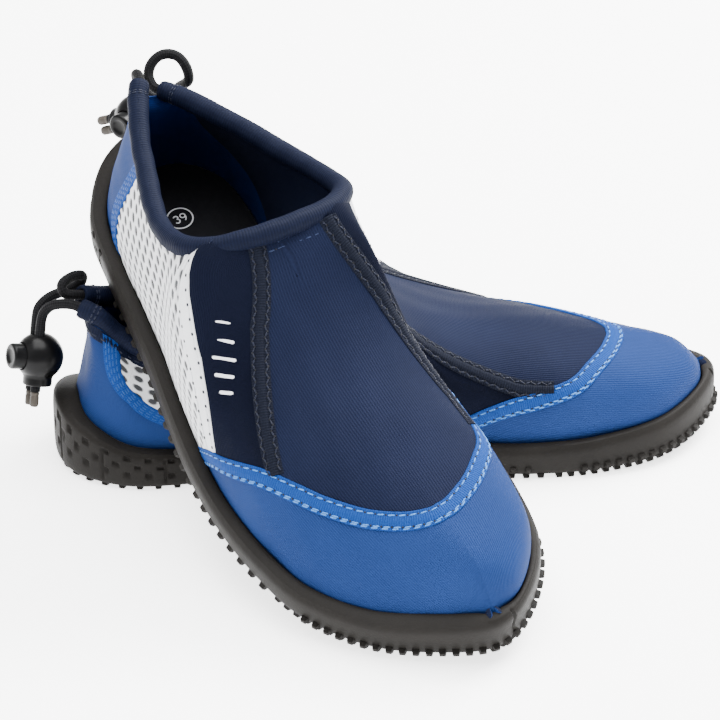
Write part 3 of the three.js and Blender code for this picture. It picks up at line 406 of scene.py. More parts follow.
# ------------------------------------------------------------------ objects
def make(name, verts, faces, mats, midx=None, attrs=None, sharp=38, body=None, rep=(), fix=True):
    me = bpy.data.meshes.new(name)
    me.from_pydata(np.asarray(verts).tolist(), [], faces.tolist() if hasattr(faces, "tolist") else faces)
    for m in mats:
        me.materials.append(m)
    if midx is not None:
        me.polygons.foreach_set("material_index", np.asarray(midx, dtype=np.int32))
    for key, val in (attrs or {}).items():
        val = np.asarray(val, dtype=np.float32)
        kind = "FLOAT_VECTOR" if val.ndim == 2 else "FLOAT"
        a = me.attributes.new(key, kind, "POINT")
        a.data.foreach_set("vector" if val.ndim == 2 else "value", val.ravel())
    me.polygons.foreach_set("use_smooth", np.ones(len(me.polygons), dtype=bool))
    if fix:
        bm = bmesh.new()
        bm.from_mesh(me)
        bmesh.ops.recalc_face_normals(bm, faces=bm.faces)
        bm.to_mesh(me)
        bm.free()
    if sharp:
        me.set_sharp_from_angle(angle=math.radians(sharp))
    me.update()
    ob = bpy.data.objects.new(name, me)
    bpy.context.scene.collection.objects.link(ob)
    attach(ob, body)
    if rep:
        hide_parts(*rep)
    return ob


def quads(nu, nv, base=0, flip=False):
    i, j = np.meshgrid(np.arange(nu - 1), np.arange(nv - 1), indexing="ij")
    a = base + i * nv + j
    q = np.stack([a, a + nv, a + nv + 1, a + 1], -1).reshape(-1, 4)
    return q[:, ::-1] if flip else q


def plate_faces(nu, nv):
    n = nu * nv
    f = [quads(nu, nv), quads(nu, nv, n, True)]
    m = [np.zeros(len(f[0])), np.ones(len(f[1]))]
    i, j = np.arange(nu - 1), np.arange(nv - 1)
    sides = [np.stack([i * nv, i * nv + n, (i + 1) * nv + n, (i + 1) * nv], 1),
             np.stack([i * nv + nv - 1, (i + 1) * nv + nv - 1, (i + 1) * nv + nv - 1 + n, i * nv + nv - 1 + n], 1),
             np.stack([j, j + 1, j + 1 + n, j + n], 1),
             np.stack([(nu - 1) * nv + j, (nu - 1) * nv + j + n, (nu - 1) * nv + j + 1 + n, (nu - 1) * nv + j + 1], 1)]
    for s in sides:
        f.append(s)
        m.append(np.full(len(s), 2))
    return np.vstack(f), np.concatenate(m).astype(int)


def arcs(P):
    """Lengths along both directions of a grid of points, and the totals."""
    du = np.r_[np.zeros((1, P.shape[1])), np.cumsum(np.linalg.norm(np.diff(P, axis=0), axis=2), axis=0)]
    dv = np.c_[np.zeros((P.shape[0], 1)), np.cumsum(np.linalg.norm(np.diff(P, axis=1), axis=2), axis=1)]
    return du, dv


def crown(d, depth, radius):
    x = np.clip(1 - d / radius, 0, 1)
    return -depth * (1 - np.sqrt(1 - 0.98 * x * x))


def panel(name, node, K, V, mats, depth=(0.7, 0.7, 0.7, 0.7), fab=None, amp=0.25, extra=None, inner=-NEOPRENE, taper=False):
    """A stitched panel of foam cloth: crowned to its edges, with a lining on its inner face."""
    P = at(K, V)
    du, dv = arcs(P)
    edges = [du, du[-1:] - du, dv, dv[:, -1:] - dv]
    off = sum(crown(e, d, 1.9) for e, d in zip(edges, depth))
    off = off + ripple(P, amp) * smooth01(np.minimum.reduce(edges) / 6)
    hole_liner_shade = np.zeros(K.shape)
    if extra is not None:
        o2, hole_liner_shade = extra(du, dv, K, V, edges)
        off = off + o2
    thin = np.full(K.shape, inner) + 0.25 * ripple(P, 1.0)
    if taper:
        thin = lerp(thin, -1.0, smooth01(1 - edges[3] / 5.5))
    outer, inn = skin(K, V, off), skin(K, V, thin)
    X, Y = (du, dv) if fab is None else fab(du, dv, K, V)
    near = np.minimum.reduce(edges)
    A = np.stack([X, Y, near], -1).reshape(-1, 3)
    faces, midx = plate_faces(*K.shape)
    verts = np.vstack([outer.reshape(-1, 3), inn.reshape(-1, 3)])
    midx = np.where(midx == 2, 0, midx)
    # the hole mask goes to the material, where it paints the holes dark: partly lining colour, partly painted shade
    return make(f"{S.which}_{name}", place(verts, S.which), faces, mats, midx,
                {"fab": np.vstack([A, A]), "hole_liner_shade": np.r_[hole_liner_shade.ravel(), np.zeros(hole_liner_shade.size)]},
                sharp=55, body=f"{S.which}_shoe", rep=[f"{S.which}_{n}" for n in node])


def carried(pts, start=None):
    """Tangent, normal and binormal carried along a line of points."""
    T = np.gradient(pts, axis=0)
    T = unit(T)
    N = np.array([0, 0, 1.0]) if abs(T[0][2]) < 0.9 else np.array([1.0, 0, 0])
    if start is not None:
        N = np.asarray(start, float)
    Ns = []
    for t in T:
        N = N - t * np.dot(N, t)
        N = N / np.linalg.norm(N)
        Ns.append(N)
    Ns = np.array(Ns)
    return T, Ns, np.cross(T, Ns)


def tube_mesh(pts, radius, sides, inner=None, start=None):
    """Closed tube; radius may be (n, sides). inner makes it a pipe."""
    n = len(pts)
    T, N, B = carried(pts, start)
    a = 2 * np.pi * np.arange(sides) / sides
    R = np.broadcast_to(np.asarray(radius, float), (n, sides)) if np.ndim(radius) != 1 else np.repeat(np.asarray(radius)[:, None], sides, 1)
    V = pts[:, None] + R[..., None] * (np.cos(a)[None, :, None] * N[:, None] + np.sin(a)[None, :, None] * B[:, None])
    verts = [V.reshape(-1, 3)]
    i, j = np.meshgrid(np.arange(n - 1), np.arange(sides), indexing="ij")
    f = np.stack([i * sides + j, i * sides + (j + 1) % sides, (i + 1) * sides + (j + 1) % sides, (i + 1) * sides + j], -1).reshape(-1, 4)
    faces = [f]
    if inner is not None:
        r2 = np.repeat(np.broadcast_to(np.asarray(inner, float), (n,))[:, None], sides, 1)
        W = pts[:, None] + r2[..., None] * (np.cos(a)[None, :, None] * N[:, None] + np.sin(a)[None, :, None] * B[:, None])
        verts.append(W.reshape(-1, 3))
        faces.append(f[:, ::-1] + n * sides)
        jj = np.arange(sides)
        for e, fl in ((0, 1), ((n - 1) * sides, -1)):
            q = np.stack([e + jj, e + jj + n * sides, e + (jj + 1) % sides + n * sides, e + (jj + 1) % sides], 1)
            faces.append(q[:, ::fl])
        return np.vstack(verts), np.vstack(faces).tolist()
    out = np.vstack(faces).tolist()
    out.append(list(range(sides))[::-1])
    out.append([(n - 1) * sides + j for j in range(sides)])
    return np.vstack(verts), out


def tube_attr(pts, sides, radius, copies=1):
    L = np.r_[0, np.cumsum(np.linalg.norm(np.diff(pts, axis=0), axis=1))]
    a = 2 * np.pi * np.arange(sides) / sides
    A = np.stack([np.repeat(L, sides), np.tile(a, len(pts)), np.full(len(pts) * sides, radius)], -1)
    return np.vstack([A] * copies)


def blobs(P, T, N, length, width, height, nl=5, ns=6):
    """Small stitches: rounded bars of thread at P, along T, standing on N. One mesh."""
    n = len(P)
    length, width, height = [np.broadcast_to(np.asarray(x, float), (n,)) for x in (length, width, height)]
    B = np.cross(N, T)
    u = np.linspace(-1, 1, nl + 2)[1:-1]
    prof = np.sqrt(1 - u ** 4 * 0.92)
    a = 2 * np.pi * np.arange(ns) / ns
    V = (P[:, None, None] + (u[None, :, None, None] * (length / 2)[:, None, None, None]) * T[:, None, None]
         + (prof[None, :, None, None] * np.cos(a)[None, None, :, None] * (width / 2)[:, None, None, None]) * B[:, None, None]
         + (prof[None, :, None, None] * np.sin(a)[None, None, :, None] * (height / 2)[:, None, None, None]) * N[:, None, None])
    ends = np.stack([P - T * (length / 2)[:, None] * 1.0, P + T * (length / 2)[:, None] * 1.0], 1)
    m = nl * ns
    verts = np.concatenate([V.reshape(n, m, 3), ends], 1).reshape(-1, 3)
    per = m + 2
    f4, f3 = [], []
    for i in range(nl - 1):
        for j in range(ns):
            f4.append([i * ns + j, i * ns + (j + 1) % ns, (i + 1) * ns + (j + 1) % ns, (i + 1) * ns + j])
    for j in range(ns):
        f3.append([m, (j + 1) % ns, j])
        f3.append([m + 1, (nl - 1) * ns + j, (nl - 1) * ns + (j + 1) % ns])
    f4, f3 = np.array(f4), np.array(f3)
    base = (np.arange(n) * per)[:, None, None]
    return verts, (base + f4[None]).reshape(-1, 4).tolist() + (base + f3[None]).reshape(-1, 3).tolist()


def merge(parts):
    verts, faces, o = [], [], 0
    for v, f in parts:
        verts.append(v)
        f = f.tolist() if hasattr(f, "tolist") else f
        faces += [[x + o for x in q] for q in f]
        o += len(v)
    return np.vstack(verts), faces


# ------------------------------------------------------------------ materials
def new_mat(name, color, rough, **kw):
    m = bpy.data.materials.new(name)
    m.use_nodes = True
    b = m.node_tree.nodes["Principled BSDF"]
    b.inputs["Base Color"].default_value = (*color, 1)
    b.inputs["Roughness"].default_value = rough
    for k, v in kw.items():
        b.inputs[k.replace("_", " ")].default_value = v
    return m, m.node_tree, b


def nd(t, kind, **kw):
    n = t.nodes.new(kind)
    for k, v in kw.items():
        setattr(n, k, v)
    return n


def math_node(t, op, a, b=None):
    n = nd(t, "ShaderNodeMath", operation=op)
    for i, x in enumerate((a, b)):
        if x is None:
            continue
        if isinstance(x, (int, float)):
            n.inputs[i].default_value = x
        else:
            t.links.new(x, n.inputs[i])
    return n.outputs[0]


def attr(t, name):
    a = nd(t, "ShaderNodeAttribute", attribute_name=name)
    s = nd(t, "ShaderNodeSeparateXYZ")
    t.links.new(a.outputs["Vector"], s.inputs[0])
    return a, s


def noise(t, scale, detail=2.0, rough=0.5):
    c = nd(t, "ShaderNodeTexCoord")
    n = nd(t, "ShaderNodeTexNoise")
    n.inputs["Scale"].default_value = scale
    n.inputs["Detail"].default_value = detail
    n.inputs["Roughness"].default_value = rough
    t.links.new(c.outputs["Object"], n.inputs["Vector"])
    return n.outputs["Fac"]


def mix(t, fac, a, b):
    n = nd(t, "ShaderNodeMix", data_type="RGBA")
    if isinstance(fac, (int, float)):
        n.inputs[0].default_value = fac
    else:
        t.links.new(fac, n.inputs[0])
    for i, x in ((6, a), (7, b)):
        if isinstance(x, tuple):
            n.inputs[i].default_value = (*x, 1)
        else:
            t.links.new(x, n.inputs[i])
    return n.outputs[2]


def bump(t, bsdf, height, dist_mm, strength=1.0):
    n = nd(t, "ShaderNodeBump")
    n.inputs["Strength"].default_value = strength
    n.inputs["Distance"].default_value = dist_mm / 1000
    t.links.new(height, n.inputs["Height"])
    t.links.new(n.outputs["Normal"], bsdf.inputs["Normal"])


def sines(t, x, pitch, phase=0.0):
    return math_node(t, "SINE", math_node(t, "ADD", math_node(t, "MULTIPLY", x, 2 * math.pi / pitch), phase))


def knit(name, dark, light, pitch=1.05, rough=0.62, sheen=0.35, tint=(0.5, 0.55, 0.8), depth=0.10, spec=0.35, cross=0.8):
    """Fine rib jersey on neoprene: ribs along Y of the piece's cloth coordinates."""
    m, t, b = new_mat(name, dark, rough)
    b.inputs["Sheen Weight"].default_value = sheen
    b.inputs["Sheen Roughness"].default_value = 0.42
    b.inputs["Sheen Tint"].default_value = (*tint, 1)
    b.inputs["Specular IOR Level"].default_value = spec
    a, s = attr(t, "fab")
    rib = sines(t, s.outputs["X"], pitch)
    loops = sines(t, s.outputs["Y"], cross)
    tex = math_node(t, "ADD", math_node(t, "MULTIPLY", rib, 0.5), math_node(t, "MULTIPLY", math_node(t, "MULTIPLY", loops, rib), 0.22))
    fibre = noise(t, 2600, 2)
    broad = noise(t, 26, 3)
    h = math_node(t, "ADD", tex, math_node(t, "MULTIPLY", fibre, 0.5))
    f = math_node(t, "ADD", math_node(t, "MULTIPLY", tex, 0.36), math_node(t, "ADD", math_node(t, "MULTIPLY", fibre, 0.35), math_node(t, "MULTIPLY", broad, 0.55)))
    f = math_node(t, "MINIMUM", math_node(t, "MAXIMUM", f, 0.0), 1.0)
    t.links.new(mix(t, f, dark, light), b.inputs["Base Color"])
    bump(t, b, h, depth, 0.9)
    return m


def rubber(name, dark, light):
    m, t, b = new_mat(name, dark, 0.6)
    b.inputs["Specular IOR Level"].default_value = 0.05
    n1, n2, n3 = noise(t, 900, 3, 0.6), noise(t, 60, 3), noise(t, 2400, 2)
    f = math_node(t, "MINIMUM", math_node(t, "MAXIMUM", math_node(t, "ADD", math_node(t, "MULTIPLY", n2, 0.9), math_node(t, "MULTIPLY", n3, 0.25)), 0.0), 1.0)
    t.links.new(mix(t, f, dark, light), b.inputs["Base Color"])
    t.links.new(math_node(t, "ADD", math_node(t, "MULTIPLY", n2, 0.25), 0.42), b.inputs["Roughness"])
    bump(t, b, math_node(t, "ADD", n1, math_node(t, "MULTIPLY", n3, 0.5)), 0.16, 0.8)
    return m


def spacer(name, thread, hole_liner_shade_color):
    m, t, b = new_mat(name, thread, 0.75)
    b.inputs["Specular IOR Level"].default_value = 0.2
    b.inputs["Sheen Weight"].default_value = 0.05
    a, s = attr(t, "fab")
    p = nd(t, "ShaderNodeAttribute", attribute_name="hole_liner_shade")
    loops = math_node(t, "MULTIPLY", sines(t, math_node(t, "ADD", s.outputs["Y"], math_node(t, "MULTIPLY", s.outputs["X"], 0.8)), 0.75), 0.5)
    l2 = math_node(t, "MULTIPLY", sines(t, math_node(t, "SUBTRACT", s.outputs["Y"], math_node(t, "MULTIPLY", s.outputs["X"], 0.8)), 0.75), 0.5)
    tex = math_node(t, "ADD", loops, l2)
    n = noise(t, 1500, 2)
    shade = math_node(t, "MINIMUM", math_node(t, "MAXIMUM", math_node(t, "ADD", math_node(t, "MULTIPLY", tex, 0.16), math_node(t, "MULTIPLY", n, 0.4)), 0.0), 1.0)
    c = mix(t, shade, tuple(x * 0.84 for x in thread), thread)
    # holes take the hole colour: partly the dark lining seen through them, partly painted shade of the holes' depth
    t.links.new(mix(t, p.outputs["Fac"], c, hole_liner_shade_color), b.inputs["Base Color"])
    bump(t, b, math_node(t, "ADD", tex, n), 0.14, 0.8)
    return m


def webbing(name, dark, light, pitch=0.85, sheen=0.3, rough=0.55, depth=0.12):
    """Grosgrain: ribs across the tape (X runs along the tape)."""
    m, t, b = new_mat(name, dark, rough)
    b.inputs["Sheen Weight"].default_value = sheen
    b.inputs["Specular IOR Level"].default_value = 0.05
    b.inputs["Sheen Tint"].default_value = (0.6, 0.7, 1.0, 1)
    a, s = attr(t, "fab")
    rib = sines(t, s.outputs["X"], pitch)
    warp = sines(t, s.outputs["Y"], 0.55)
    n = noise(t, 1800, 2)
    tex = math_node(t, "ADD", math_node(t, "MULTIPLY", rib, 0.6), math_node(t, "MULTIPLY", warp, 0.15))
    f = math_node(t, "MINIMUM", math_node(t, "MAXIMUM", math_node(t, "ADD", math_node(t, "MULTIPLY", tex, 0.35), math_node(t, "MULTIPLY", n, 0.8)), 0.0), 1.0)
    t.links.new(mix(t, f, dark, light), b.inputs["Base Color"])
    bump(t, b, math_node(t, "ADD", tex, math_node(t, "MULTIPLY", n, 0.4)), depth, 0.9)
    return m


def thread(name, dark, light):
    m, t, b = new_mat(name, dark, 0.5)
    b.inputs["Specular IOR Level"].default_value = 0.2
    b.inputs["Sheen Weight"].default_value = 0.04
    n = noise(t, 3200, 2)
    t.links.new(mix(t, n, dark, light), b.inputs["Base Color"])
    bump(t, b, n, 0.08, 0.8)
    return m


def braid(name, dark, light):
    m, t, b = new_mat(name, dark, 0.65)
    b.inputs["Specular IOR Level"].default_value = 0.06
    b.inputs["Sheen Weight"].default_value = 0.02
    a, s = attr(t, "fab")
    along, ang = s.outputs["X"], s.outputs["Y"]
    p = math_node(t, "SINE", math_node(t, "ADD", math_node(t, "MULTIPLY", along, 3.6), math_node(t, "MULTIPLY", ang, 6)))
    q = math_node(t, "SINE", math_node(t, "SUBTRACT", math_node(t, "MULTIPLY", along, 3.6), math_node(t, "MULTIPLY", ang, 6)))
    n = noise(t, 2200, 2)
    tex = math_node(t, "ADD", math_node(t, "MULTIPLY", math_node(t, "MULTIPLY", p, q), 0.5), math_node(t, "MULTIPLY", n, 0.4))
    t.links.new(mix(t, math_node(t, "MINIMUM", math_node(t, "MAXIMUM", math_node(t, "ADD", tex, 0.1), 0.0), 1.0), dark, light), b.inputs["Base Color"])
    bump(t, b, tex, 0.16, 0.9)
    return m


def plastic(name, dark, light, rough=0.3, grain=0.03):
    m, t, b = new_mat(name, dark, rough)
    b.inputs["Specular IOR Level"].default_value = 0.10
    n, n2 = noise(t, 700, 3), noise(t, 90, 2)
    t.links.new(mix(t, n2, dark, light), b.inputs["Base Color"])
    t.links.new(math_node(t, "ADD", math_node(t, "MULTIPLY", n2, 0.16), rough - 0.08), b.inputs["Roughness"])
    bump(t, b, n, grain, 0.6)
    return m


def felt(name, dark, light, scale=1300, depth=0.12):
    m, t, b = new_mat(name, dark, 0.9)
    b.inputs["Specular IOR Level"].default_value = 0.08
    b.inputs["Sheen Weight"].default_value = 0.03
    n, n2 = noise(t, scale, 3), noise(t, 45, 3)
    t.links.new(mix(t, math_node(t, "MULTIPLY", math_node(t, "ADD", n, n2), 0.5), dark, light), b.inputs["Base Color"])
    bump(t, b, n, depth, 0.8)
    return m


NAVY_D, NAVY_L = (0.0018, 0.0030, 0.0098), (0.0072, 0.0105, 0.0290)
BLUE_D, BLUE_L = (0.0048, 0.0145, 0.062), (0.0125, 0.0335, 0.125)
MAT = {
    "blue": knit("blue_neoprene", BLUE_D, BLUE_L, pitch=1.0, rough=0.7, sheen=0.0, tint=(0.45, 0.65, 1.0), spec=0.05),
    "navy": knit("navy_neoprene", NAVY_D, NAVY_L, pitch=1.08, rough=0.7, sheen=0.0, tint=(0.55, 0.6, 1.0), spec=0.04),
    "navy_side": knit("navy_side", (0.0011, 0.0017, 0.0054), (0.0036, 0.0050, 0.0135), pitch=0.92, rough=0.75, sheen=0.0, tint=(0.55, 0.6, 0.9), spec=0.03),
    "lining_navy": knit("lining_navy", (0.0022, 0.0036, 0.011), (0.0065, 0.0095, 0.026), pitch=0.8, rough=0.85, sheen=0.02, depth=0.06, spec=0.05),
    "lining_blue": knit("lining_blue", (0.0022, 0.0080, 0.050), (0.0060, 0.021, 0.115), pitch=0.8, rough=0.85, sheen=0.02, depth=0.06, spec=0.05),
    # the mesh's dark hole colour, and the hem's, is partly the lining seen through the holes and partly painted shade
    # inside them
    "mesh": spacer("white_spacer_mesh", (0.76, 0.77, 0.80), (0.030, 0.031, 0.035)),
    "hem": spacer("white_hem", (0.80, 0.81, 0.84), (0.3, 0.3, 0.32)),
    "tape": webbing("blue_tape", (0.0028, 0.022, 0.115), (0.0075, 0.046, 0.20), sheen=0.0, rough=0.65),
    "strip": webbing("navy_tape", (0.0015, 0.0021, 0.0052), (0.0070, 0.0088, 0.0165), pitch=0.95, sheen=0.0, rough=0.7),
    "roll": webbing("binding_rib", (0.0016, 0.0026, 0.0082), (0.0046, 0.0068, 0.0190), pitch=1.05, sheen=0.0, rough=0.65, depth=0.07),
    "thread_blue": thread("thread_blue", (0.016, 0.090, 0.30), (0.060, 0.21, 0.52)),
    "thread_heel": thread("thread_heel", (0.005, 0.030, 0.13), (0.014, 0.065, 0.24)),
    "thread_throat": thread("thread_throat", (0.005, 0.011, 0.036), (0.014, 0.028, 0.078)),
    "thread_navy": thread("thread_navy", (0.0022, 0.0034, 0.010), (0.0060, 0.0092, 0.025)),
    # near-black dots at the needle holes: painted shade of the holes
    "needle_hole_shade": thread("needle_hole_shade", (0.0012, 0.0015, 0.003), (0.004, 0.0046, 0.008)),
    "thread_grey": thread("thread_grey", (0.008, 0.009, 0.015), (0.026, 0.026, 0.036)),
    "rubber": rubber("sole_rubber", (0.0050, 0.0045, 0.0041), (0.0135, 0.0123, 0.0112)),
    "insole": felt("insole_cloth", (0.0032, 0.0033, 0.0046), (0.0120, 0.0122, 0.0150)),
    "board": felt("board_fibre", (0.22, 0.20, 0.155), (0.33, 0.30, 0.245), 500, 0.05),
    "cord": braid("black_cord", (0.0012, 0.0012, 0.0015), (0.0085, 0.0085, 0.0100)),
    "lock": plastic("lock_plastic", (0.0008, 0.0008, 0.0009), (0.0022, 0.0022, 0.0026), 0.3),
    "tip": plastic("cord_tip", (0.030, 0.026, 0.022), (0.070, 0.061, 0.052), 0.5, 0.06),
    "steel": plastic("spring_steel", (0.45, 0.46, 0.48), (0.6, 0.61, 0.63), 0.25, 0.02),
    "print": felt("white_print", (0.55, 0.56, 0.59), (0.74, 0.75, 0.78), 1600, 0.03),
}
MAT["steel"].node_tree.nodes["Principled BSDF"].inputs["Metallic"].default_value = 1.0

# ------------------------------------------------------------------ sole unit
NS = 1040
SS = None


def even_s():
    """Outline positions at even distances all round."""
    s = np.linspace(0, 26, 5201)
    p = ring(OUT, s)
    L = np.r_[0, np.cumsum(np.linalg.norm(np.diff(p, axis=0), axis=1))]
    return np.interp(np.linspace(0, L[-1], NS, endpoint=False), L, s), L, s


SS, OUT_ARC, OUT_S = even_s()
OUT_LEN = OUT_ARC[-1]


def wall_profile(s, t):
    """Point on the rubber's outside: t 0 at the tread's edge, 1 at the rim's crest."""
    p, n = outward(s)
    base, rim, sp = ring(BASES, s), ring(RIMS, s), spring(p[..., 0])
    z0 = sp + 0.3
    D = np.stack([np.full_like(base, 4.2), np.full_like(base, 1.7), np.full_like(base, 0.25), np.zeros_like(base), np.full_like(base, 0.35), np.full_like(base, 1.7)], -1)
    Z = np.stack([z0, lerp(z0, base, 0.35), base, lerp(base, rim, 0.45), rim - 2.6, rim - 0.25], -1)
    x = np.clip(t, 0, 1) * 5
    i = np.clip(np.floor(x).astype(int), 0, 4)
    f = x - i
    g = lambda A: (lambda q: 0.5 * (2 * q[1] + (q[2] - q[0]) * f + (2 * q[0] - 5 * q[1] + 4 * q[2] - q[3]) * f * f + (3 * q[1] - q[0] - 3 * q[2] + q[3]) * f ** 3))(
        [np.take_along_axis(A, np.clip(i + j, 0, 5)[..., None], -1)[..., 0] for j in (-1, 0, 1, 2)])
    d, z = g(D), g(Z)
    return np.stack([p[..., 0] - n[..., 0] * d, p[..., 1] - n[..., 1] * d, z], -1)


def wall_frame(s, t):
    a = wall_profile(s + 0.01, t) - wall_profile(s - 0.01, t)
    b = wall_profile(s, np.clip(t + 0.02, 0, 1)) - wall_profile(s, np.clip(t - 0.02, 0, 1))
    N = unit(np.cross(a, b))
    p, n = outward(s)
    out = np.concatenate([n, np.zeros(n.shape[:-1] + (1,))], -1)
    N = N * np.where((N * out).sum(-1, keepdims=True) < 0, -1, 1)
    return wall_profile(s, t), unit(a), N


def wall_inset(s, z):
    """Inset of the upper's outer face at height z on station s (arrays)."""
    lo, hi = np.zeros(s.shape), np.full(s.shape, 0.6)
    for _ in range(24):
        m = (lo + hi) / 2
        up = last(s, m)[..., 2] < z
        lo, hi = np.where(up, m, lo), np.where(up, hi, m)
    p, n = outward(s)
    q = last(s, lo)
    return (p[..., 0] - q[..., 0]) * n[..., 0] + (p[..., 1] - q[..., 1]) * n[..., 1]


def s_at(arc):
    return np.interp(np.mod(arc, OUT_LEN), OUT_ARC, OUT_S)


def arc_of(st):
    return float(np.interp(st, OUT_S, OUT_ARC))


HEEL_A = arc_of(3.0)          # the smooth heel part runs to here on the lateral side
HEEL_B = OUT_LEN - arc_of(3.2)


def wall_dents(arc, z, t, frac):
    """Dimples of the heel wall and its upright grooves: depth in mm, positive inwards."""
    d = np.zeros_like(z)
    a = np.where(arc > OUT_LEN / 2, arc - OUT_LEN, arc)
    for row, (f, ph) in enumerate(((0.30, 0.0), (0.56, 0.5), (0.80, 0.0))):
        pitch = 8.6
        rel = (a / pitch + ph) - np.round(a / pitch + ph)
        w = np.maximum(np.abs(rel * pitch) / 1.15, np.abs((frac - f) * 22) / 1.25)
        inside = (a > -62) & (a < 62)
        d = np.maximum(d, np.where(inside, 1.05 * smooth01((1.25 - w) / 0.35), 0))
    for g in (-58, -33, -11, 14, 36, 60):
        d = np.maximum(d, 0.7 * smooth01((0.8 - np.abs(a - g)) / 0.5) * smooth01(frac / 0.08) * smooth01((0.9 - frac) / 0.1))
    tip = arc_of(13.0) + 6.5
    d = np.maximum(d, 0.75 * smooth01((0.75 - np.abs(arc - tip - 0.6 * np.sin(frac * 9))) / 0.5))
    return d


def outsole(which):
    n_t = 46
    t = np.linspace(0, 1, n_t)
    Sg, Tg = np.meshgrid(SS, t, indexing="ij")
    P, A, N = wall_frame(Sg, Tg)
    arc = np.interp(Sg, OUT_S, OUT_ARC)
    base, rim = ring(BASES, Sg), ring(RIMS, Sg)
    frac = (P[..., 2] - base) / (rim - base)
    P = P - N * wall_dents(arc, P[..., 2], Tg, frac)[..., None]
    rings_ = [P[:, j] for j in range(n_t)]
    p, n = outward(SS)
    rimz, sp = ring(RIMS, SS), spring(p[:, 0])
    # over the rim's rounded crest and down inside, against the cloth
    ins_top = wall_inset(SS, rimz - 0.4) - 0.12
    for f, dz in ((0.25, 0.02), (0.55, 0.12), (0.8, -0.05), (0.94, -0.32), (1.0, -0.85)):
        d = lerp(1.7, np.maximum(ins_top, 2.4), f)
        rings_.append(np.stack([p[:, 0] - n[:, 0] * d, p[:, 1] - n[:, 1] * d, rimz + dz], -1))
    for share in (0.75, 0.5, 0.25, 0.0):
        z = lerp(FLOOR + sp, rimz - 0.85, share)
        d = np.minimum(wall_inset(SS, np.maximum(z, FLOOR + sp + 0.8)) - 0.15, 60)
        d = np.maximum(d, 2.4)
        rings_.append(np.stack([p[:, 0] - n[:, 0] * d, p[:, 1] - n[:, 1] * d, z], -1))
    bottom = []
    for d, dz in ((14.0, 1.5), (5.6, 1.5), (5.0, 1.2), (4.7, 0.1), (4.5, 0.0)):
        bottom.append(np.stack([p[:, 0] - n[:, 0] * d, p[:, 1] - n[:, 1] * d, sp + dz], -1))
    inner = [np.stack([p[:, 0] - n[:, 0] * 14, p[:, 1] - n[:, 1] * 14, FLOOR + sp], -1)]
    R = bottom + rings_ + inner
    nr = len(R)
    V = np.stack(R, 0).reshape(-1, 3)
    i, j = np.meshgrid(np.arange(nr - 1), np.arange(NS), indexing="ij")
    F = np.stack([i * NS + j, i * NS + (j + 1) % NS, (i + 1) * NS + (j + 1) % NS, (i + 1) * NS + j], -1).reshape(-1, 4).tolist()
    F.append([j for j in range(NS)][::-1])
    F.append([(nr - 1) * NS + j for j in range(NS)])
    parts = [(V, F)]

    def pyramid(C, A, N, la, lb, ta, tb, h, sink=0.5):
        B = np.cross(N, A)
        vs = []
        for (x, y, z) in ((1, 1, 0), (-1, 1, 0), (-1, -1, 0), (1, -1, 0)):
            vs.append(C + A * x * la / 2 + B * y * lb / 2 - N * sink)
        for (x, y, z) in ((1, 1, 0), (-1, 1, 0), (-1, -1, 0), (1, -1, 0)):
            vs.append(C + A * x * (ta / 2 + 0.18) + B * y * (tb / 2 + 0.18) + N * (h - 0.28))
        for (x, y, z) in ((1, 1, 0), (-1, 1, 0), (-1, -1, 0), (1, -1, 0)):
            vs.append(C + A * x * ta / 2 + B * y * tb / 2 + N * h)
        V = np.stack(vs, 1).reshape(-1, 3)
        f = [[3, 2, 1, 0], [8, 9, 10, 11]]
        for o in (0, 4):
            for q in range(4):
                f.append([o + q, o + (q + 1) % 4, o + 4 + (q + 1) % 4, o + 4 + q])
        return V, (np.arange(len(C))[:, None, None] * 12 + np.array(f)[None]).reshape(-1, 4)

    def row(a0, a1, pitch, t_of, size=1.0, h=1.9, phase=0.0):
        n_ = int(abs(a1 - a0) / pitch)
        arcs_ = a0 + (np.arange(n_) + 0.5 + phase) * (a1 - a0) / n_
        s = s_at(arcs_)
        C, A_, N_ = wall_frame(s, np.full(len(s), 1.0) * t_of)
        low = N_.copy()
        low[:, 2] *= 0.5
        parts.append(pyramid(C, A_, unit(low), 2.9 * size, 2.7 * size, 1.9 * size, 1.7 * size, h))

    toe_a, toe_b = arc_of(9.4), arc_of(26 - 9.2)
    row(toe_a, toe_b, 4.7, 0.16, 1.0, 1.9)
    row(toe_a + 12, toe_b - 12, 4.7, 0.44, 0.95, 1.8, 0.5)
    row(HEEL_A + 6, toe_a - 2, 6.4, 0.22, 1.05, 2.1)
    row(toe_b + 2, HEEL_B - 4, 5.6, 0.20, 1.0, 2.0)
    row(toe_b + 4, toe_b + 62, 5.6, 0.46, 0.9, 1.6, 0.5)
    row(-66, 66, 7.3, 0.14, 1.0, 1.3)
    # tread lugs on the ground face
    lug = []
    ang = np.array([0, 55, 125, 180, 235, 305]) * math.pi / 180
    for r_i, x in enumerate(np.arange(9, 256, 8.2)):
        for c_i in range(-7, 8):
            y = c_i * 9.4 + (r_i % 2) * 4.7 - 2
            if inside_sole(np.array([x]), np.array([y]))[0] < 9.6:
                continue
            z = float(spring(np.array(x)))
            ring_ = lambda sx, sy, dz: np.stack([x + sx * np.cos(ang), y + sy * np.sin(ang), np.full(6, 0.0) + spring(x + sx * np.cos(ang)) + dz], 1)
            base_, mid_, top_ = ring_(3.7, 4.1, 1.9), ring_(3.2, 3.6, 0.25), ring_(2.9, 3.3, 0.0)
            v = np.vstack([base_, mid_, top_])
            f = [list(range(6)), list(range(12, 18))[::-1]]
            for o in (0, 6):
                for q in range(6):
                    f.append([o + q, o + (q + 1) % 6, o + 6 + (q + 1) % 6, o + 6 + q])
            lug.append((v, f))
    parts.append(merge(lug))
    V, F = merge(parts)
    W = place(V, which)
    W[:, 2] = np.maximum(W[:, 2], 1e-5)
    return make(f"{which}_rubber_outsole", W, F, [MAT["rubber"]], sharp=42, body=f"{which}_shoe", rep=[f"{which}_outsole"])


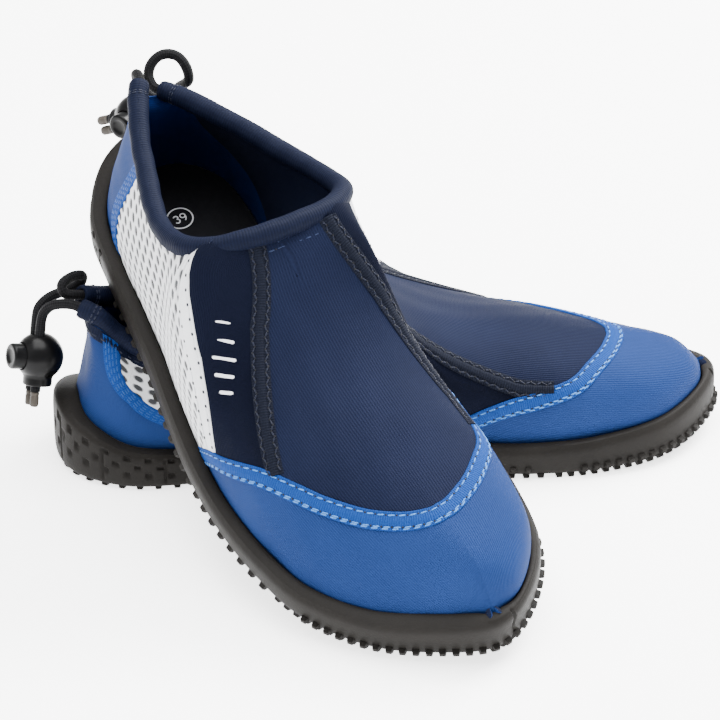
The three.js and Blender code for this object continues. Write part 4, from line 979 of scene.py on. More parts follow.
def slab(which, name, node, d0, z0, z1, round_, mat, dish=0.0):
    """A shaped sheet on the sole's floor, its edges rounded, dished in the middle of the heel."""
    n_ = 260
    s, = [np.interp(np.linspace(0, OUT_LEN, n_, endpoint=False), OUT_ARC, OUT_S)]
    p, n = outward(s)
    c = np.stack([np.clip(p[:, 0], 26, 238), np.interp(np.clip(p[:, 0], 26, 238), [0, 70, 140, 200, 262], [0, -5, -7, -2, 6])], 1)
    ringsV = []

    def ringat(inset, z, shrink=0.0):
        q = p - n * inset
        q = lerp(q, c, shrink)
        return np.stack([q[:, 0], q[:, 1], z + spring(q[:, 0])], 1)
    h = z1 - z0
    ringsV = [ringat(d0 + 2, z0, 0.98), ringat(d0 + 1, z0), ringat(d0, z0 + h * 0.25), ringat(d0, z1 - round_), ringat(d0 + 0.3 * round_, z1 - 0.3 * round_), ringat(d0 + round_, z1)]
    for sh in (0.15, 0.35, 0.55, 0.75, 0.9, 0.985):
        r = ringat(d0 + round_, z1, sh)
        r[:, 2] -= dish * smooth01(sh / 0.6)
        ringsV.append(r)
    nr = len(ringsV)
    V = np.vstack(ringsV)
    i, j = np.meshgrid(np.arange(nr - 1), np.arange(n_), indexing="ij")
    F = np.stack([i * n_ + j, i * n_ + (j + 1) % n_, (i + 1) * n_ + (j + 1) % n_, (i + 1) * n_ + j], -1).reshape(-1, 4).tolist()
    F.append(list(range(n_))[::-1])
    F.append([(nr - 1) * n_ + j for j in range(n_)])
    A = np.stack([V[:, 1], V[:, 0], V[:, 2]], 1)
    return make(f"{which}_{name}", place(V, which), F, [mat], attrs={"fab": A}, sharp=50, body=f"{which}_shoe", rep=[f"{which}_{node}"])


# ------------------------------------------------------------------ tapes and stitches
def curve_frame(k, v):
    """World-size frame along a curve of girth coordinates (arrays): point, tangent, surface normal, side, and its lengths."""
    P = at(k, v)
    T = unit(np.gradient(P, axis=0))
    N = unit(normal(k, v) * SIGN)
    B = unit(np.cross(N, T))
    L = np.r_[0, np.cumsum(np.linalg.norm(np.diff(P, axis=0), axis=1))]
    return P, T, N, B, L


def kv_step(k, v, D):
    """Change of (k, v) for a step D (mm vectors) along the surface."""
    e = 0.01
    C = at(k, v)
    dk = (at(k + e, v) - C) / e
    up = np.where(v > 1.98, -e, e)
    dv = (at(k, v + up) - C) / up[..., None]
    kk, kv, vv = (dk * dk).sum(-1), (dk * dv).sum(-1), (dv * dv).sum(-1)
    bk, bv = (dk * D).sum(-1), (dv * D).sum(-1)
    det = np.maximum(kk * vv - kv * kv, 1e-9)
    return (bk * vv - bv * kv) / det, (bv * kk - bk * kv) / det


def even_curve(k, v, from_, to, step):
    P = at(k, v)
    L = np.r_[0, np.cumsum(np.linalg.norm(np.diff(P, axis=0), axis=1))]
    n = max(3, int((L[-1] - from_ - to) / step))
    l = np.linspace(from_, L[-1] - to, n + 1)
    return np.interp(l, L, k), np.interp(l, L, v)


def offset_curve(k, v, h):
    """The curve moved sideways by h mm on the surface."""
    P, T, N, B, L = curve_frame(k, v)
    gk, gv = kv_step(k, v, B)
    return k + gk * h, np.clip(v + gv * h, 0.001, 1.999)


def tape(name, node, k, v, width, mat, profile, low=-0.9):
    """A tape sewn over a seam. profile: [(share across -1..1, height)]."""
    P, T, N, B, L = curve_frame(k, v)
    gk, gv = kv_step(k, v, B)
    xs, hs = np.array(profile, float).T
    u = np.r_[-1, -0.985, -0.95, np.linspace(-0.9, 0.9, 21), 0.95, 0.985, 1]
    hh = np.interp(u, xs, hs)
    K = k[:, None] + gk[:, None] * u[None] * width / 2
    V_ = np.clip(v[:, None] + gv[:, None] * u[None] * width / 2, 0.001, 1.999)
    pucker = 0.07 * np.sin(2 * np.pi * L / 3.8)[:, None] * ((np.abs(u) > 0.45) & (np.abs(u) < 0.9))[None]
    top = skin(K, V_, hh[None] + pucker)
    bot = skin(K, V_, np.full(K.shape, low))
    faces, midx = plate_faces(*K.shape)
    A = np.stack([np.repeat(L, len(u)), np.tile(u * width / 2, len(k)), np.zeros(K.size)], -1)
    return make(f"{S.which}_{name}", place(np.vstack([top.reshape(-1, 3), bot.reshape(-1, 3)]), S.which), faces, [mat],
                attrs={"fab": np.vstack([A, A])}, sharp=60, body=f"{S.which}_shoe", rep=[f"{S.which}_{x}" for x in node])


def stitch_row(k, v, h, pitch, length, width, height, lift, tilt=0.0, phase=0.0, from_=0.5, to=0.5, clear=False):
    """Stitches along the curve moved by h, standing lift mm above the cloth. Returns a mesh in the shoe's frame."""
    k2, v2 = offset_curve(k, v, h) if h else (k, v)
    P, T, N, B, L = curve_frame(k2, v2)
    n = int((L[-1] - from_ - to) / pitch)
    if n < 1:
        return None
    l = from_ + (np.arange(n) + 0.5 + phase) * pitch
    l = l[l < L[-1] - to * 0.5]
    kk, vv = np.interp(l, L, k2), np.interp(l, L, v2)
    C = skin(kk, vv, np.full(kk.shape, lift))
    C1 = skin(np.interp(l + 0.3, L, k2), np.interp(l + 0.3, L, v2), np.full(kk.shape, lift))
    C2 = skin(kk, vv, np.full(kk.shape, lift + 1.0))
    t, nn = unit(C1 - C), unit(C2 - C)
    t = unit(t - nn * (t * nn).sum(-1, keepdims=True))
    if clear:
        far = np.sqrt(((C[:, None, :] - S.fine[None]) ** 2).sum(2)).min(1) > BINDING_R + 0.9
        far &= np.where(vv > 1, 2 - vv, vv) < collar_v(np.where(vv > 1, -kk, kk), rim=True)
        if not far.any():
            return None
        C, t, nn = C[far], t[far], nn[far]
        l = l[far]
    if tilt:
        b = np.cross(nn, t)
        sg = np.where(np.arange(len(l)) % 2 == 0, 1, -1)[:, None] if tilt > 0 else 1
        t = unit(t + b * np.tan(np.radians(abs(tilt))) * sg)
    return blobs(C, t, nn, length, width, height)


def sewn(name, rows, mat):
    rows = [r for r in rows if r is not None]
    V, F = merge(rows)
    return make(f"{S.which}_{name}", place(V, S.which), F, [mat], sharp=None, body=f"{S.which}_shoe")


# ------------------------------------------------------------------ cord and cord lock
def lock_frame(which):
    c, a, b = [np.array(q, float) for q in LOCKS[which]]
    a = unit(a)
    b = unit(b - a * np.dot(b, a))
    return c, a, b, np.cross(b, a)


def lock_place(P, which):
    c, a, b, x = lock_frame(which)
    P = np.asarray(P, float)
    return place(c + P[..., 0:1] * x + P[..., 1:2] * b + P[..., 2:3] * a, which)


def cord_path(which):
    c, a, b, x = lock_frame(which)
    inl = lambda u, d: c + b * SEAT_B + x * u * STRAND + a * d
    B = S.binding
    t0, t1 = unit(B[0] - B[12]), unit(B[-1] - B[-13])
    su = 1 if which == "left" else -1
    first, last_ = [[np.array(p, float) for p in q] for q in LEADS[which]]
    one = catmull([inl(su, -13.6), *first, B[0] + t0 * 3], 1.0)
    two = catmull([B[-1] + t1 * 3, *last_, inl(-su, -13.6)], 1.0)
    ends = lambda u, d0, d1: np.array([inl(u, d) for d in np.linspace(d0, d1, 28)])
    P = np.vstack([ends(su, 13.4, -12.6), one, B[::2], two, ends(-su, -12.6, 13.4)])
    L = np.r_[0, np.cumsum(np.linalg.norm(np.diff(P, axis=0), axis=1))]
    keep = np.r_[True, np.diff(L) > 1e-6]
    P, L = P[keep], L[keep]
    s = np.linspace(0, L[-1], int(L[-1] / 0.8) + 1)
    P = np.stack([np.interp(s, L, P[:, i]) for i in range(3)], 1)
    for _ in range(3):
        P[1:-1] = 0.25 * P[:-2] + 0.5 * P[1:-1] + 0.25 * P[2:]
    return P


def draw_cord(which):
    P = cord_path(which)
    sides = 20
    L = np.r_[0, np.cumsum(np.linalg.norm(np.diff(P, axis=0), axis=1))]
    a = 2 * np.pi * np.arange(sides) / sides
    relief = 0.06 * np.sin(3.6 * L[:, None] + 6 * a[None]) * np.sin(3.6 * L[:, None] - 6 * a[None])
    V, F = tube_mesh(P, CORD_R + relief, sides)
    ob = make(f"{which}_elastic_cord", place(V, which), F, [MAT["cord"]], attrs={"fab": tube_attr(P, sides, CORD_R)},
              sharp=60, body=f"{which}_shoe", rep=[f"{which}_drawcord"])
    return ob, P, float(L[-1])


def lathe(profile, n, axis_="z"):
    """Closed surface of revolution about z (or y) from (radius, height) points, radius 0 at both ends."""
    prof = np.array(profile, float)
    a = 2 * np.pi * np.arange(n) / n
    mid = prof[1:-1]
    V = np.stack([mid[:, 0:1] * np.cos(a), mid[:, 0:1] * np.sin(a), np.repeat(mid[:, 1:2], n, 1)], -1).reshape(-1, 3)
    V = np.vstack([V, [[0, 0, prof[0, 1]], [0, 0, prof[-1, 1]]]])
    m = len(mid)
    F = []
    for i in range(m - 1):
        for j in range(n):
            F.append([i * n + j, i * n + (j + 1) % n, (i + 1) * n + (j + 1) % n, (i + 1) * n + j])
    for j in range(n):
        F.append([m * n, (j + 1) % n, j])
        F.append([m * n + 1, (m - 1) * n + j, (m - 1) * n + (j + 1) % n])
    if axis_ == "y":
        V = np.stack([V[:, 0], V[:, 2], -V[:, 1]], 1)
    return V, F


def solid_mesh(name, V, F):
    me = bpy.data.meshes.new(name)
    me.from_pydata(np.asarray(V).tolist(), [], F)
    bm = bmesh.new()
    bm.from_mesh(me)
    bmesh.ops.recalc_face_normals(bm, faces=bm.faces)
    bm.to_mesh(me)
    bm.free()
    return me


def carve(V, F, cutters):
    """V, F minus each cutter."""
    base = bpy.data.objects.new("tmp_base", solid_mesh("tmp_base", V, F))
    bpy.context.scene.collection.objects.link(base)
    temp = [base]
    for i, (v, f) in enumerate(cutters):
        c = bpy.data.objects.new(f"tmp_cut{i}", solid_mesh(f"tmp_cut{i}", v, f))
        bpy.context.scene.collection.objects.link(c)
        temp.append(c)
        m = base.modifiers.new(f"cut{i}", "BOOLEAN")
        m.operation, m.object, m.solver = "DIFFERENCE", c, "EXACT"
    bpy.context.view_layer.update()
    ev = base.evaluated_get(bpy.context.evaluated_depsgraph_get())
    me = bpy.data.meshes.new_from_object(ev)
    V2 = np.array([v.co[:] for v in me.vertices])
    F2 = [list(p.vertices) for p in me.polygons]
    bpy.data.meshes.remove(me)
    for o in temp:
        bpy.data.objects.remove(o, do_unlink=True)
    return V2, F2


def arc_prof(r, c_r, c_z, a0, a1, n):
    a = np.radians(np.linspace(a0, a1, n))
    return [(c_r + r * math.cos(x), c_z + r * math.sin(x)) for x in a]


def prism(pts, z0, z1, n=1):
    k = len(pts)
    V = np.array([(x, y, z0) for x, y in pts] + [(x, y, z1) for x, y in pts])
    F = [list(range(k))[::-1], list(range(k, 2 * k))] + [[i, (i + 1) % k, k + (i + 1) % k, k + i] for i in range(k)]
    return V, F


def lock_shapes():
    zn = math.sqrt(BALL_R ** 2 - 5.6 ** 2)
    ball = [(0, -BALL_R)] + [(BALL_R * math.cos(t), BALL_R * math.sin(t)) for t in np.linspace(-math.pi / 2, math.asin(zn / BALL_R) - 0.06, 42)[1:]]
    prof = ball + [(5.85, zn + 0.12), (5.65, zn + 0.55), (5.6, zn + 1.1), (5.6, 10.5)] + arc_prof(0.7, 4.9, 10.5, 15, 90, 5) + [(4.0, 11.2), (0, 11.2)]
    V, F = lathe(prof, 96)
    bore = lathe([(0, -6.8), (BORE_R, -6.8), (BORE_R, 7.35), (BORE_R + 0.18, 7.75), (BORE_R + 0.75, 8.4), (BORE_R + 1.2, 12), (0, 12)], 72, "y")
    w, h = STRAND * 2 + 2 * CORD_R + 0.5, 2 * CORD_R + 0.5
    c, r = w / 2 - h / 2, h / 2
    pts = [(c + r * math.cos(a), SEAT_B + r * math.sin(a)) for a in np.linspace(-math.pi / 2, math.pi / 2, 18)] + \
          [(-c + r * math.cos(a), SEAT_B + r * math.sin(a)) for a in np.linspace(math.pi / 2, 1.5 * math.pi, 18)]
    body = carve(V, F, [bore, prism(pts, -20, 20)])
    btn = [(0, -2.4), (BUTTON_R - 0.4, -2.4), (BUTTON_R, -2.0), (BUTTON_R, BUTTON_OUT - 1.1)] + arc_prof(1.0, BUTTON_R - 1.0, BUTTON_OUT - 1.0, 12, 90, 6)
    btn += [(3.3, BUTTON_OUT), (2.95, BUTTON_OUT - 0.08), (2.6, BUTTON_OUT - 0.35), (1.9, BUTTON_OUT - 0.62), (1.0, BUTTON_OUT - 0.76), (0, BUTTON_OUT - 0.8)]
    y0, y1 = SEAT_B - CORD_R - 0.35, SEAT_B + CORD_R + 3.0 + 0.45
    hw = STRAND + CORD_R + 0.35
    button = carve(*lathe(btn, 72, "y"), [prism([(-hw, y0), (hw, y0), (hw, y1), (-hw, y1)], -15, 15)])
    return body, button


LOCK_BODY, LOCK_BUTTON = lock_shapes()


def cord_lock(which):
    body = make(f"{which}_lock_ball", lock_place(LOCK_BODY[0], which), LOCK_BODY[1], [MAT["lock"]], sharp=32, body=f"{which}_lock", rep=[f"{which}_lock_body"])
    button = make(f"{which}_lock_plunger", lock_place(LOCK_BUTTON[0], which), LOCK_BUTTON[1], [MAT["lock"]], sharp=32, body=f"{which}_button", rep=[f"{which}_lock_button"])
    tips = []
    for n_, u in (("a", -1), ("b", 1)):
        prof = [(0, 13.5), (1.5, 13.5), (1.78, 13.8), (1.8, 14.4), (1.68, 14.7), (1.68, 15.2), (1.82, 15.5), (1.82, 17.6), (1.78, 18.5), (1.6, 19.0), (1.25, 19.25), (0.8, 19.2), (0, 19.1)]
        V, F = lathe(prof, 40)
        V[:, 1] *= 0.93
        V = V + np.array([u * STRAND, SEAT_B, 0])
        tips.append(make(f"{which}_cord_end_{n_}", lock_place(V, which), F, [MAT["tip"]], sharp=40, body=BODY[f"{which}_cord_tip_{n_}"], rep=[f"{which}_cord_tip_{n_}"]))
    return [body, button] + tips


# ------------------------------------------------------------------ one shoe
MESH_ACROSS, MESH_ROW, HOLE_ACROSS, HOLE_ALONG, WALL_TILT = 7.2, 4.4, 1.65, 2.1, 1.25


def mesh_holes(du, dv, K, V, edges):
    """Half-offset rows of oval holes, the cloth's grain along the hem, laid out flat in mm on the shoe's side."""
    P = at(K, V)
    x, z = P[..., 0], P[..., 2] * WALL_TILT
    d = np.array([x[-1, -1] - x[-1, 0], z[-1, -1] - z[-1, 0]])
    d = d / np.hypot(*d)
    X = -(x * d[1] - z * d[0])
    Y = x * d[0] + z * d[1]
    best = np.full(K.shape, 9.0)
    r0 = np.floor(Y / MESH_ROW)
    for dr in (-1, 0, 1, 2):
        r = r0 + dr
        xo = np.where(np.mod(r, 2) == 0, 0.0, MESH_ACROSS / 2)
        dx = (X - xo) - MESH_ACROSS * np.round((X - xo) / MESH_ACROSS)
        best = np.minimum(best, np.sqrt((dx / HOLE_ACROSS) ** 2 + ((Y - r * MESH_ROW) / HOLE_ALONG) ** 2))
    zone = smooth01((edges[1] - 9.0) / 1.5) * smooth01((edges[0] - 1.0) / 1.0) * smooth01((edges[2] - 0.6) / 0.8)
    # hole mask: dents the cloth 0.3 mm, and in the material colours the holes dark, partly lining colour and partly
    # painted shade of the hole depth
    hole_liner_shade = smooth01((1.1 - best) / 0.25) * zone
    return -0.3 * hole_liner_shade + 0.1 * smooth01((best - 0.9) / 0.5) * zone, hole_liner_shade


def girth(du, dv, K, V):
    """Cloth coordinates of the vamp and toe: ribs run along the shoe."""
    ks, vs = np.linspace(5, 13, 81), np.linspace(0, 2, 81)
    P = at(ks[:, None], vs[None, :])
    G = np.c_[np.zeros(81), np.cumsum(np.linalg.norm(np.diff(P, axis=1), axis=2), axis=1)]
    G = G - G[:, 40:41]
    ref = G[30]
    x = np.interp(V, vs, ref)
    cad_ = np.clip((K - 5) / 0.1, 0, 79.999)
    fv = np.clip(V / 0.025, 0, 79.999)
    i, j = np.floor(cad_).astype(int), np.floor(fv).astype(int)
    a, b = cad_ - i, fv - j
    g = (G[i, j] * (1 - a) * (1 - b) + G[i + 1, j] * a * (1 - b) + G[i, j + 1] * (1 - a) * b + G[i + 1, j + 1] * a * b)
    return 0.75 * g + 0.25 * x, K * 18.0


def ribbon(pts, width, height):
    V, F = tube_mesh(pts, 1.0, 10, start=(0, 0, 1))
    T, N, B = carried(pts, (0, 0, 1))
    a = 2 * np.pi * np.arange(10) / 10
    V = pts[:, None] + np.cos(a)[None, :, None] * height * N[:, None] + np.sin(a)[None, :, None] * width / 2 * B[:, None]
    return V.reshape(-1, 3), F


def size_print(which):
    """A white ring with the size number, printed on the sock liner at the heel."""
    cx, cy, z = 38.0, -3.5, FLOOR + 2 * GAP + BOARD + SOCK - 0.5 + 0.03
    m = 1 if which == "right" else -1
    arc = lambda x, y, r, a0, a1, n=22: [(x + r * math.cos(t), y + r * math.sin(t)) for t in np.radians(np.linspace(a0, a1, n))]
    three = [arc(-1.45, 0.86, 0.86, 155, -80), arc(-1.45, -0.88, 0.94, 85, -155)]
    nine = [arc(1.45, 0.72, 0.98, -5, 355, 30), [(2.43, 0.72), (2.42, 0.0), (2.25, -0.75), (1.9, -1.35), (1.5, -1.82)]]
    lines = [arc(0, 0, 5.0, 0, 360, 72)] + three + nine
    parts = []
    for q in lines:
        q = np.array(q)
        pts = np.stack([cx - q[:, 1], cy + m * q[:, 0], np.full(len(q), z)], 1)
        parts.append(ribbon(pts, 0.55, 0.09))
    V, F = merge(parts)
    make(f"{which}_size_print", place(V, which), F, [MAT["print"]], sharp=None, body=f"{which}_shoe")


def side_mark(med):
    """A plain hatch of short raised bars on the side panel."""
    A, B, C, D = [np.array(q) for q in ((7.36, 0.650), (7.66, 0.743), (8.10, 0.587), (7.70, 0.480))]
    parts = []
    for i, (s_, t0, t1) in enumerate(((0.06, 0.2, 0.8), (0.28, 0.1, 0.95), (0.5, 0.0, 1.0), (0.72, 0.05, 0.9), (0.94, 0.2, 0.8))):
        e = lerp(lerp(A, D, s_), lerp(B, C, s_), np.linspace(t0, t1, 26)[:, None])
        k, v = even_curve(e[:, 0], e[:, 1], 0, 0, 0.5)
        v = 2 - v if med else v
        P = skin(k, v, np.full(len(k), 0.06))
        Q = skin(k, v, np.full(len(k), 1.06))
        T, N = unit(np.gradient(P, axis=0)), unit(Q - P)
        Bn = np.cross(N, T)
        a = 2 * np.pi * np.arange(10) / 10
        w = np.full(len(P), 0.62)
        w[0] = w[-1] = 0.3
        V = P[:, None] + np.sin(a)[None, :, None] * 0.14 * N[:, None] + np.cos(a)[None, :, None] * w[:, None, None] * Bn[:, None]
        _, F = tube_mesh(P, 1.0, 10)
        parts.append((V.reshape(-1, 3), F))
    V, F = merge(parts)
    make(f"{S.which}_side_mark", place(V, S.which), F, [MAT["print"]], sharp=None, body=f"{S.which}_shoe")


def shoe(which):
    S.which = which
    kjL, kjM = tip_k(False), tip_k(True)
    W = f"{which}_shoe"
    outsole(which)
    slab(which, "board", "insole_board", 11.2, FLOOR + GAP, FLOOR + GAP + BOARD, 0.4, MAT["board"])
    ins = slab(which, "sock_liner", "insole", 10.9, FLOOR + 2 * GAP + BOARD, FLOOR + 2 * GAP + BOARD + SOCK, 1.1, MAT["insole"], dish=0.5)

    size_print(which)

    # heel panel
    w = axis(62, 62)
    a = axis(118, 110)
    Wg, Ag = np.meshgrid(w, a)
    K = lerp(-table(HEEL_SEAM_M, Wg, 1, 0), table(HEEL_SEAM, Wg, 1, 0), Ag)
    V = Wg * collar_v(K)
    panel("heel_panel", ["heel_panel"], K, V, [MAT["blue"], MAT["lining_blue"]], depth=(0.25, 0.25, 0.5, 0.3),
          fab=lambda du, dv, K, V: (dv, du), amp=0.3, taper=True)
    # white mesh and navy side panels
    for med, side in ((False, "lateral"), (True, "medial")):
        heel = HEEL_SEAM_M if med else HEEL_SEAM
        w = np.linspace(0, 1, 138)
        a = axis(92, 205, (0.0, 0.25, 0.6))
        Wg, Ag = np.meshgrid(w, a)
        K, V = side_q(lerp(table(heel, Wg, 1, 0), table(MESH_EDGE, Wg, 1, 0), Ag), Wg, med)
        panel(f"{side}_mesh_panel", [f"{side}_mesh"], K, V, [MAT["mesh"], MAT["lining_navy"]], depth=(0.2, 0.75, 0.3, 0.2),
              fab=lambda du, dv, K, V: (du[-1:] - du, dv), amp=0.22, extra=mesh_holes, taper=True)
        kj = kjM if med else kjL
        w, a = axis(60, 60), axis(70, 74)
        Wg, Ag = np.meshgrid(w, a)
        K, V = side_q(lerp(table(MESH_EDGE, Wg, 1, 0), kj - 0.02, Ag), Wg, med)
        panel(f"{side}_side_panel", [f"{side}_panel"], K, V, [MAT["navy_side"], MAT["lining_navy"]], depth=(0.55, 0.2, 0.3, 0.3),
              fab=lambda du, dv, K, V: (du, dv), amp=0.3, taper=True)
    side_mark(False)
    # vamp
    kL, kM = STRIP_L[0][0], STRIP_M[0][0]
    v0, v1 = float(collar_v(kL)), 2 - float(collar_v(-kM))
    wv, uv = axis(90, 96), axis(100, 110)
    U, Wg = np.meshgrid(uv, wv)
    latk, mdlk = lerp(kL, kjL, Wg), lerp(kM, kjM, Wg)
    lat = (latk, strip_v(latk, False))
    mdl = (mdlk, 2 - strip_v(mdlk, True))
    rv = lerp(v0, v1, U)
    rk = np.where(U == 0, kL, np.where(U == 1, kM, throat_k(rv)))
    f0, f1 = float(strip_v(kjL, False)), 2 - float(strip_v(kjM, True))
    fv = lerp(f0, f1, U)
    fkk = seam_k(fv)
    c0, c1 = (kL, v0), (kM, v1)
    d0, d1 = (float(seam_k(f0)), f0), (float(seam_k(f1)), f1)
    G = []
    for i, (A_, B_, C_, D_) in enumerate(((lat[0], mdl[0], rk, fkk), (lat[1], mdl[1], rv, fv))):
        G.append(lerp(A_, B_, U) + lerp(C_, D_, Wg) - lerp(lerp(c0[i], c1[i], U), lerp(d0[i], d1[i], U), Wg))
    panel("vamp_panel", ["vamp"], G[0], G[1], [MAT["navy"], MAT["lining_navy"]], depth=(0.3, 0.2, 0.25, 0.25), fab=girth, amp=0.42)
    # toe cap
    wv, uv = axis(60, 70), np.linspace(0, 1, 190)
    U, Wg = np.meshgrid(uv, wv)
    V = np.clip(U * 2, 0.0, 2.0)
    K = lerp(seam_k(V), 12.98, Wg)
    panel("toe_panel", ["toe_cap"], K, V, [MAT["blue"], MAT["lining_navy"]], depth=(0.2, 0.0, 0.4, 0.4), fab=girth, amp=0.42)

    # seam tapes with their stitches
    q = openc(TOE_SEAM, np.linspace(0, len(TOE_SEAM) - 1, 400))
    k, v = even_curve(q[:, 0], q[:, 1], 1.0, 1.0, 0.8)
    flat = [(-1, -0.6), (-0.985, 0.28), (-0.95, 0.4), (-0.9, 0.5), (-0.6, 0.36), (-0.45, 0.55), (0, 0.72), (0.45, 0.55), (0.6, 0.36), (0.9, 0.5), (0.95, 0.4), (0.985, 0.28), (1, -0.6)]
    tape("toe_seam_tape", ["toe_tape"], k, v, TAPE_W, MAT["tape"], flat)
    sewn("toe_tape_stitches", [stitch_row(k, v, h, 3.8, 2.7, 0.62, 0.6, 0.44, tilt=-5, phase=p) for h, p in ((2.1, 0), (-2.1, 0.4), (-2.75, 0.2))], MAT["thread_blue"])
    # dark dots at the needle holes: painted shade of the holes
    sewn("toe_tape_needle_holes", [stitch_row(k, v, h, 3.8, 0.8, 0.75, 0.34, 0.44, phase=p) for h, p in ((2.1, 0.5), (-2.1, 0.9))], MAT["needle_hole_shade"])
    ridge = [(-1, -0.6), (-0.985, 0.24), (-0.9, 0.38), (-0.75, 0.42), (-0.5, 0.25), (-0.38, 0.75), (-0.2, 1.0), (0.2, 1.0), (0.38, 0.75), (0.5, 0.25), (0.75, 0.42), (0.9, 0.38), (0.985, 0.24), (1, -0.6)]
    for med, side, T, kj in ((False, "lateral", STRIP_L, kjL), (True, "medial", STRIP_M, kjM)):
        kk = np.linspace(T[0][0], kj, 200)
        vv = strip_v(kk, med)
        k, v = even_curve(kk, 2 - vv if med else vv, 0.6, 4.2, 0.7)
        tape(f"{side}_seam_strip", [f"{side}_strip"], k, v, TAPE_W, MAT["strip"], ridge)
        sewn(f"{side}_strip_stitches", [stitch_row(k, v, h, 2.1, 1.75, 0.5, 0.5, 0.42, tilt=24) for h in (2.3, -2.3)], MAT["thread_navy"])
        # dark dots at the needle holes: painted shade of the holes
        sewn(f"{side}_strip_needle_holes", [stitch_row(k, v, h, 4.2, 0.75, 0.7, 0.34, 0.4, phase=p) for h, p in ((2.75, 0), (-2.75, 0.5), (1.85, 0.5), (-1.85, 0))], MAT["needle_hole_shade"])
        # heel seam
        H = HEEL_SEAM_M if med else HEEL_SEAM
        q = openc(H, np.linspace(0, len(H) - 1, 300))
        ww = np.clip(q[:, 1], 0, 1)
        vv = ww * collar_v(-q[:, 0] if med else q[:, 0])
        k, v = even_curve(q[:, 0], 2 - vv if med else vv, 0.8, 1.5, 0.8)
        tape(f"{side}_heel_seam_tape", [f"heel_tape_{side}"], k, v, HEEL_TAPE_W, MAT["tape"],
             [(-1, -0.6), (-0.985, 0.26), (-0.8, 0.5), (-0.6, 0.3), (-0.4, 0.52), (-0.2, 0.32), (0, 0.55), (0.2, 0.32), (0.4, 0.52), (0.6, 0.3), (0.8, 0.5), (0.985, 0.26), (1, -0.6)])
        sewn(f"{side}_heel_tape_stitches", [stitch_row(k, v, h, 3.0, 2.2, 0.5, 0.5, 0.36, tilt=-4, phase=p, clear=True) for h, p in ((2.0, 0), (0.66, 0.5), (-0.66, 0.2), (-2.0, 0.7))], MAT["thread_heel"])
        # hem of the mesh: two rows of dark stitch dots
        ww = np.linspace(0.02, 0.98, 200)
        kk, vv = side_q(table(MESH_EDGE, ww, 1, 0), ww, med)
        k, v = even_curve(kk, vv, 1.0, 1.0, 0.8)
        sgn = 1 if med else -1
        P, T_, N, B, L = curve_frame(k, v)
        back = 1 if (kv_step(k, v, B)[0].mean() < 0) else -1
        sewn(f"{side}_hem_stitches", [stitch_row(k, v, back * h, 5.3, 1.3, 0.95, 0.42, 0.04, phase=p, clear=True) for h, p in ((1.3, 0.0), (6.0, 0.45))], MAT["thread_grey"])
        sewn(f"{side}_hem_thread", [stitch_row(k, v, back * h, 5.3, 3.6, 0.5, 0.4, 0.02, phase=p, clear=True) for h, p in ((1.3, 0.5), (6.0, -0.05))], MAT["print"])
        # bound flange under the roll, with its stitches
        if not med:
            continue
        kk = np.linspace(0.35, 3.4, 160)
        kv_ = collar_v(-kk if med else kk, rim=True)
        kk2, vv2 = kk, (2 - kv_ if med else kv_)
        P = at(kk2, vv2)
        B2 = unit(np.cross(unit(normal(kk2, vv2) * SIGN), unit(np.gradient(P, axis=0))))
        down = 1 if (kv_step(kk2, vv2, B2)[1].mean() > 0) == med else -1
        k, v = even_curve(kk2, vv2, 0, 0, 0.8)
        P, T_, N, B, L = curve_frame(k, v)
        gk, gv = kv_step(k, v, B)
        u = np.array([-1.6, -0.4, 0.5, 1.2, 1.75, 1.95])
        hh = np.array([0.35, 0.5, 0.45, 0.3, 0.12, -0.35])
        wide = np.interp(L, [0, 40, 75, L[-1]], [1.75, 1.5, 0.8, 0.75])
        Kf = k[:, None] + gk[:, None] * down * u * wide[:, None]
        Vf = v[:, None] + gv[:, None] * down * u * wide[:, None]
        Vf = np.clip(Vf, 0.001, 1.999)
        puck = 0.06 * np.sin(2 * np.pi * L / 3.4)[:, None] * np.ones(6)
        top, bot = skin(Kf, Vf, hh[None] + puck), skin(Kf, Vf, np.full(Kf.shape, -0.8))
        faces, midx = plate_faces(*Kf.shape)
        A = np.stack([np.repeat(L, 6), np.tile(u, len(L)), np.zeros(Kf.size)], -1)
        make(f"{which}_{side}_binding_flange", place(np.vstack([top.reshape(-1, 3), bot.reshape(-1, 3)]), which), faces, [MAT["roll"]],
             attrs={"fab": np.vstack([A, A])}, sharp=70, body=W)
        sewn(f"{side}_binding_stitches", [stitch_row(k, v, down * 0.85, 3.4, 2.4, 0.5, 0.5, 0.5)], MAT["thread_navy"])
    # light stitches along the throat, just in front of the roll
    vv = np.linspace(v0 + 0.01, v1 - 0.01, 200)
    kk = throat_k(vv, rim=True)
    k, v = even_curve(kk, vv, 1.0, 1.0, 0.8)
    P, T_, N, B, L = curve_frame(k, v)
    fwd = 1 if kv_step(k, v, B)[0].mean() > 0 else -1
    sewn("throat_stitches", [stitch_row(k, v, fwd * 2.3, 3.4, 2.5, 0.55, 0.5, 0.04)], MAT["thread_throat"])
    # dark dots at the needle holes: painted shade of the holes
    sewn("throat_needle_holes", [stitch_row(k, v, fwd * 2.3, 3.4, 0.8, 0.75, 0.34, 0.02, phase=0.5)], MAT["needle_hole_shade"])

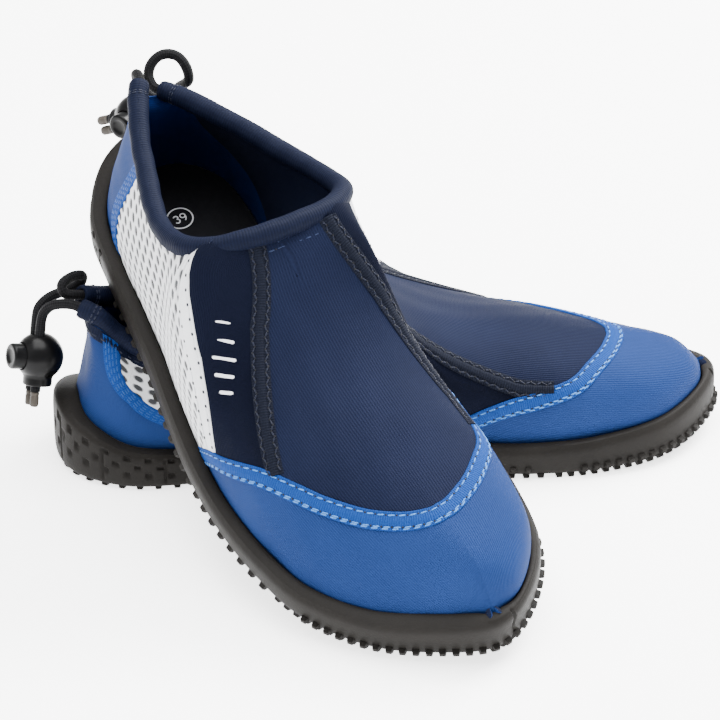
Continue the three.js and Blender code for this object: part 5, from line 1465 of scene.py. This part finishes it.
    # rolled binding
    B_ = S.binding[::2]
    if np.linalg.norm(B_[-1] - S.binding[-1]) > 0.2:
        B_ = np.vstack([B_, S.binding[-1:]])
    n = len(B_)
    L = np.r_[0, np.cumsum(np.linalg.norm(np.diff(B_, axis=0), axis=1))]
    sides = 40
    ang = 2 * np.pi * np.arange(sides) / sides
    d = np.minimum(L, L[-1] - L)
    R = BINDING_R + 0.10 * np.sin(L[:, None] / 1.9 + 0.8 * np.sin(ang)[None]) * np.cos(ang * 2)[None] + 0.12 * np.sin(L / 6.1)[:, None]
    R = R - 0.45 * smooth01(1 - d / 1.2)[:, None] - 0.28 * (np.exp(-((d - 5.2) / 0.7) ** 2))[:, None]
    V_, F_ = tube_mesh(B_, R, sides, inner=np.full(n, TUNNEL_R - 0.2))
    make(f"{which}_collar_roll", place(V_, which), F_, [MAT["roll"]], attrs={"fab": tube_attr(B_, sides, BINDING_R, 2)}, sharp=60, body=W,
         rep=[f"{which}_collar_binding"])
    T_, N_, Q_ = carried(B_)
    rows = []
    for e in (5.2, L[-1] - 5.2, 6.9, L[-1] - 6.9):
        i = int(np.argmin(np.abs(L - e)))
        m = 11
        a = 2 * np.pi * (np.arange(m) + 0.5) / m
        out = np.cos(a)[:, None] * N_[i] + np.sin(a)[:, None] * Q_[i]
        C = B_[i] + out * (R[i].mean() + 0.02)
        rows.append(blobs(C, np.cross(T_[i][None], out), out, 1.6, 0.5, 0.5))
    sewn("binding_end_stitches", rows, MAT["thread_navy"])


CORDS = {}
for which in ("left", "right"):
    set_shape(which)
    ob, P, L = draw_cord(which)
    extra = cord_lock(which)
    c, a, b, x = lock_frame(which)
    CORDS[which] = L
    frame["nodes"][f"{which}_lock_spring"].data.materials.clear()
    frame["nodes"][f"{which}_lock_spring"].data.materials.append(MAT["steel"])
    shoe(which)

# ------------------------------------------------------------------ floor and light
def area(name, loc, target, size, power, color=(1, 1, 1)):
    l = bpy.data.lights.new(name, "AREA")
    l.shape, l.size, l.size_y, l.energy, l.color = "RECTANGLE", size[0], size[1], power, color
    o = bpy.data.objects.new(name, l)
    o.location = loc
    o.rotation_euler = (Vector(target) - Vector(loc)).to_track_quat("-Z", "Y").to_euler()
    bpy.context.scene.collection.objects.link(o)
    return o


fm = bpy.data.meshes.new("floor")
fm.from_pydata([(-6, -6, 0), (6, -6, 0), (6, 6, 0), (-6, 6, 0)], [], [(0, 1, 2, 3)])
mt, t, b = new_mat("floor_paper", (0.94, 0.94, 0.94), 0.9, Emission_Color=(1, 1, 1, 1), Emission_Strength=2.6)
fm.materials.append(mt)
floor = bpy.data.objects.new("floor", fm)
bpy.context.scene.collection.objects.link(floor)
area("key", (0.85, 0.75, 1.15), (0, 0.02, 0.03), (0.9, 0.7), 90)
area("fill", (-1.2, -0.5, 1.0), (0, 0, 0.05), (1.4, 1.2), 8)
area("top", (0.0, 0.1, 1.7), (0, 0, 0), (1.6, 1.6), 105)
world = bpy.data.worlds.new("studio")
world.use_nodes = True
world.node_tree.nodes["Background"].inputs["Color"].default_value = (1, 1, 1, 1)
world.node_tree.nodes["Background"].inputs["Strength"].default_value = 1.25
bpy.context.scene.world = world
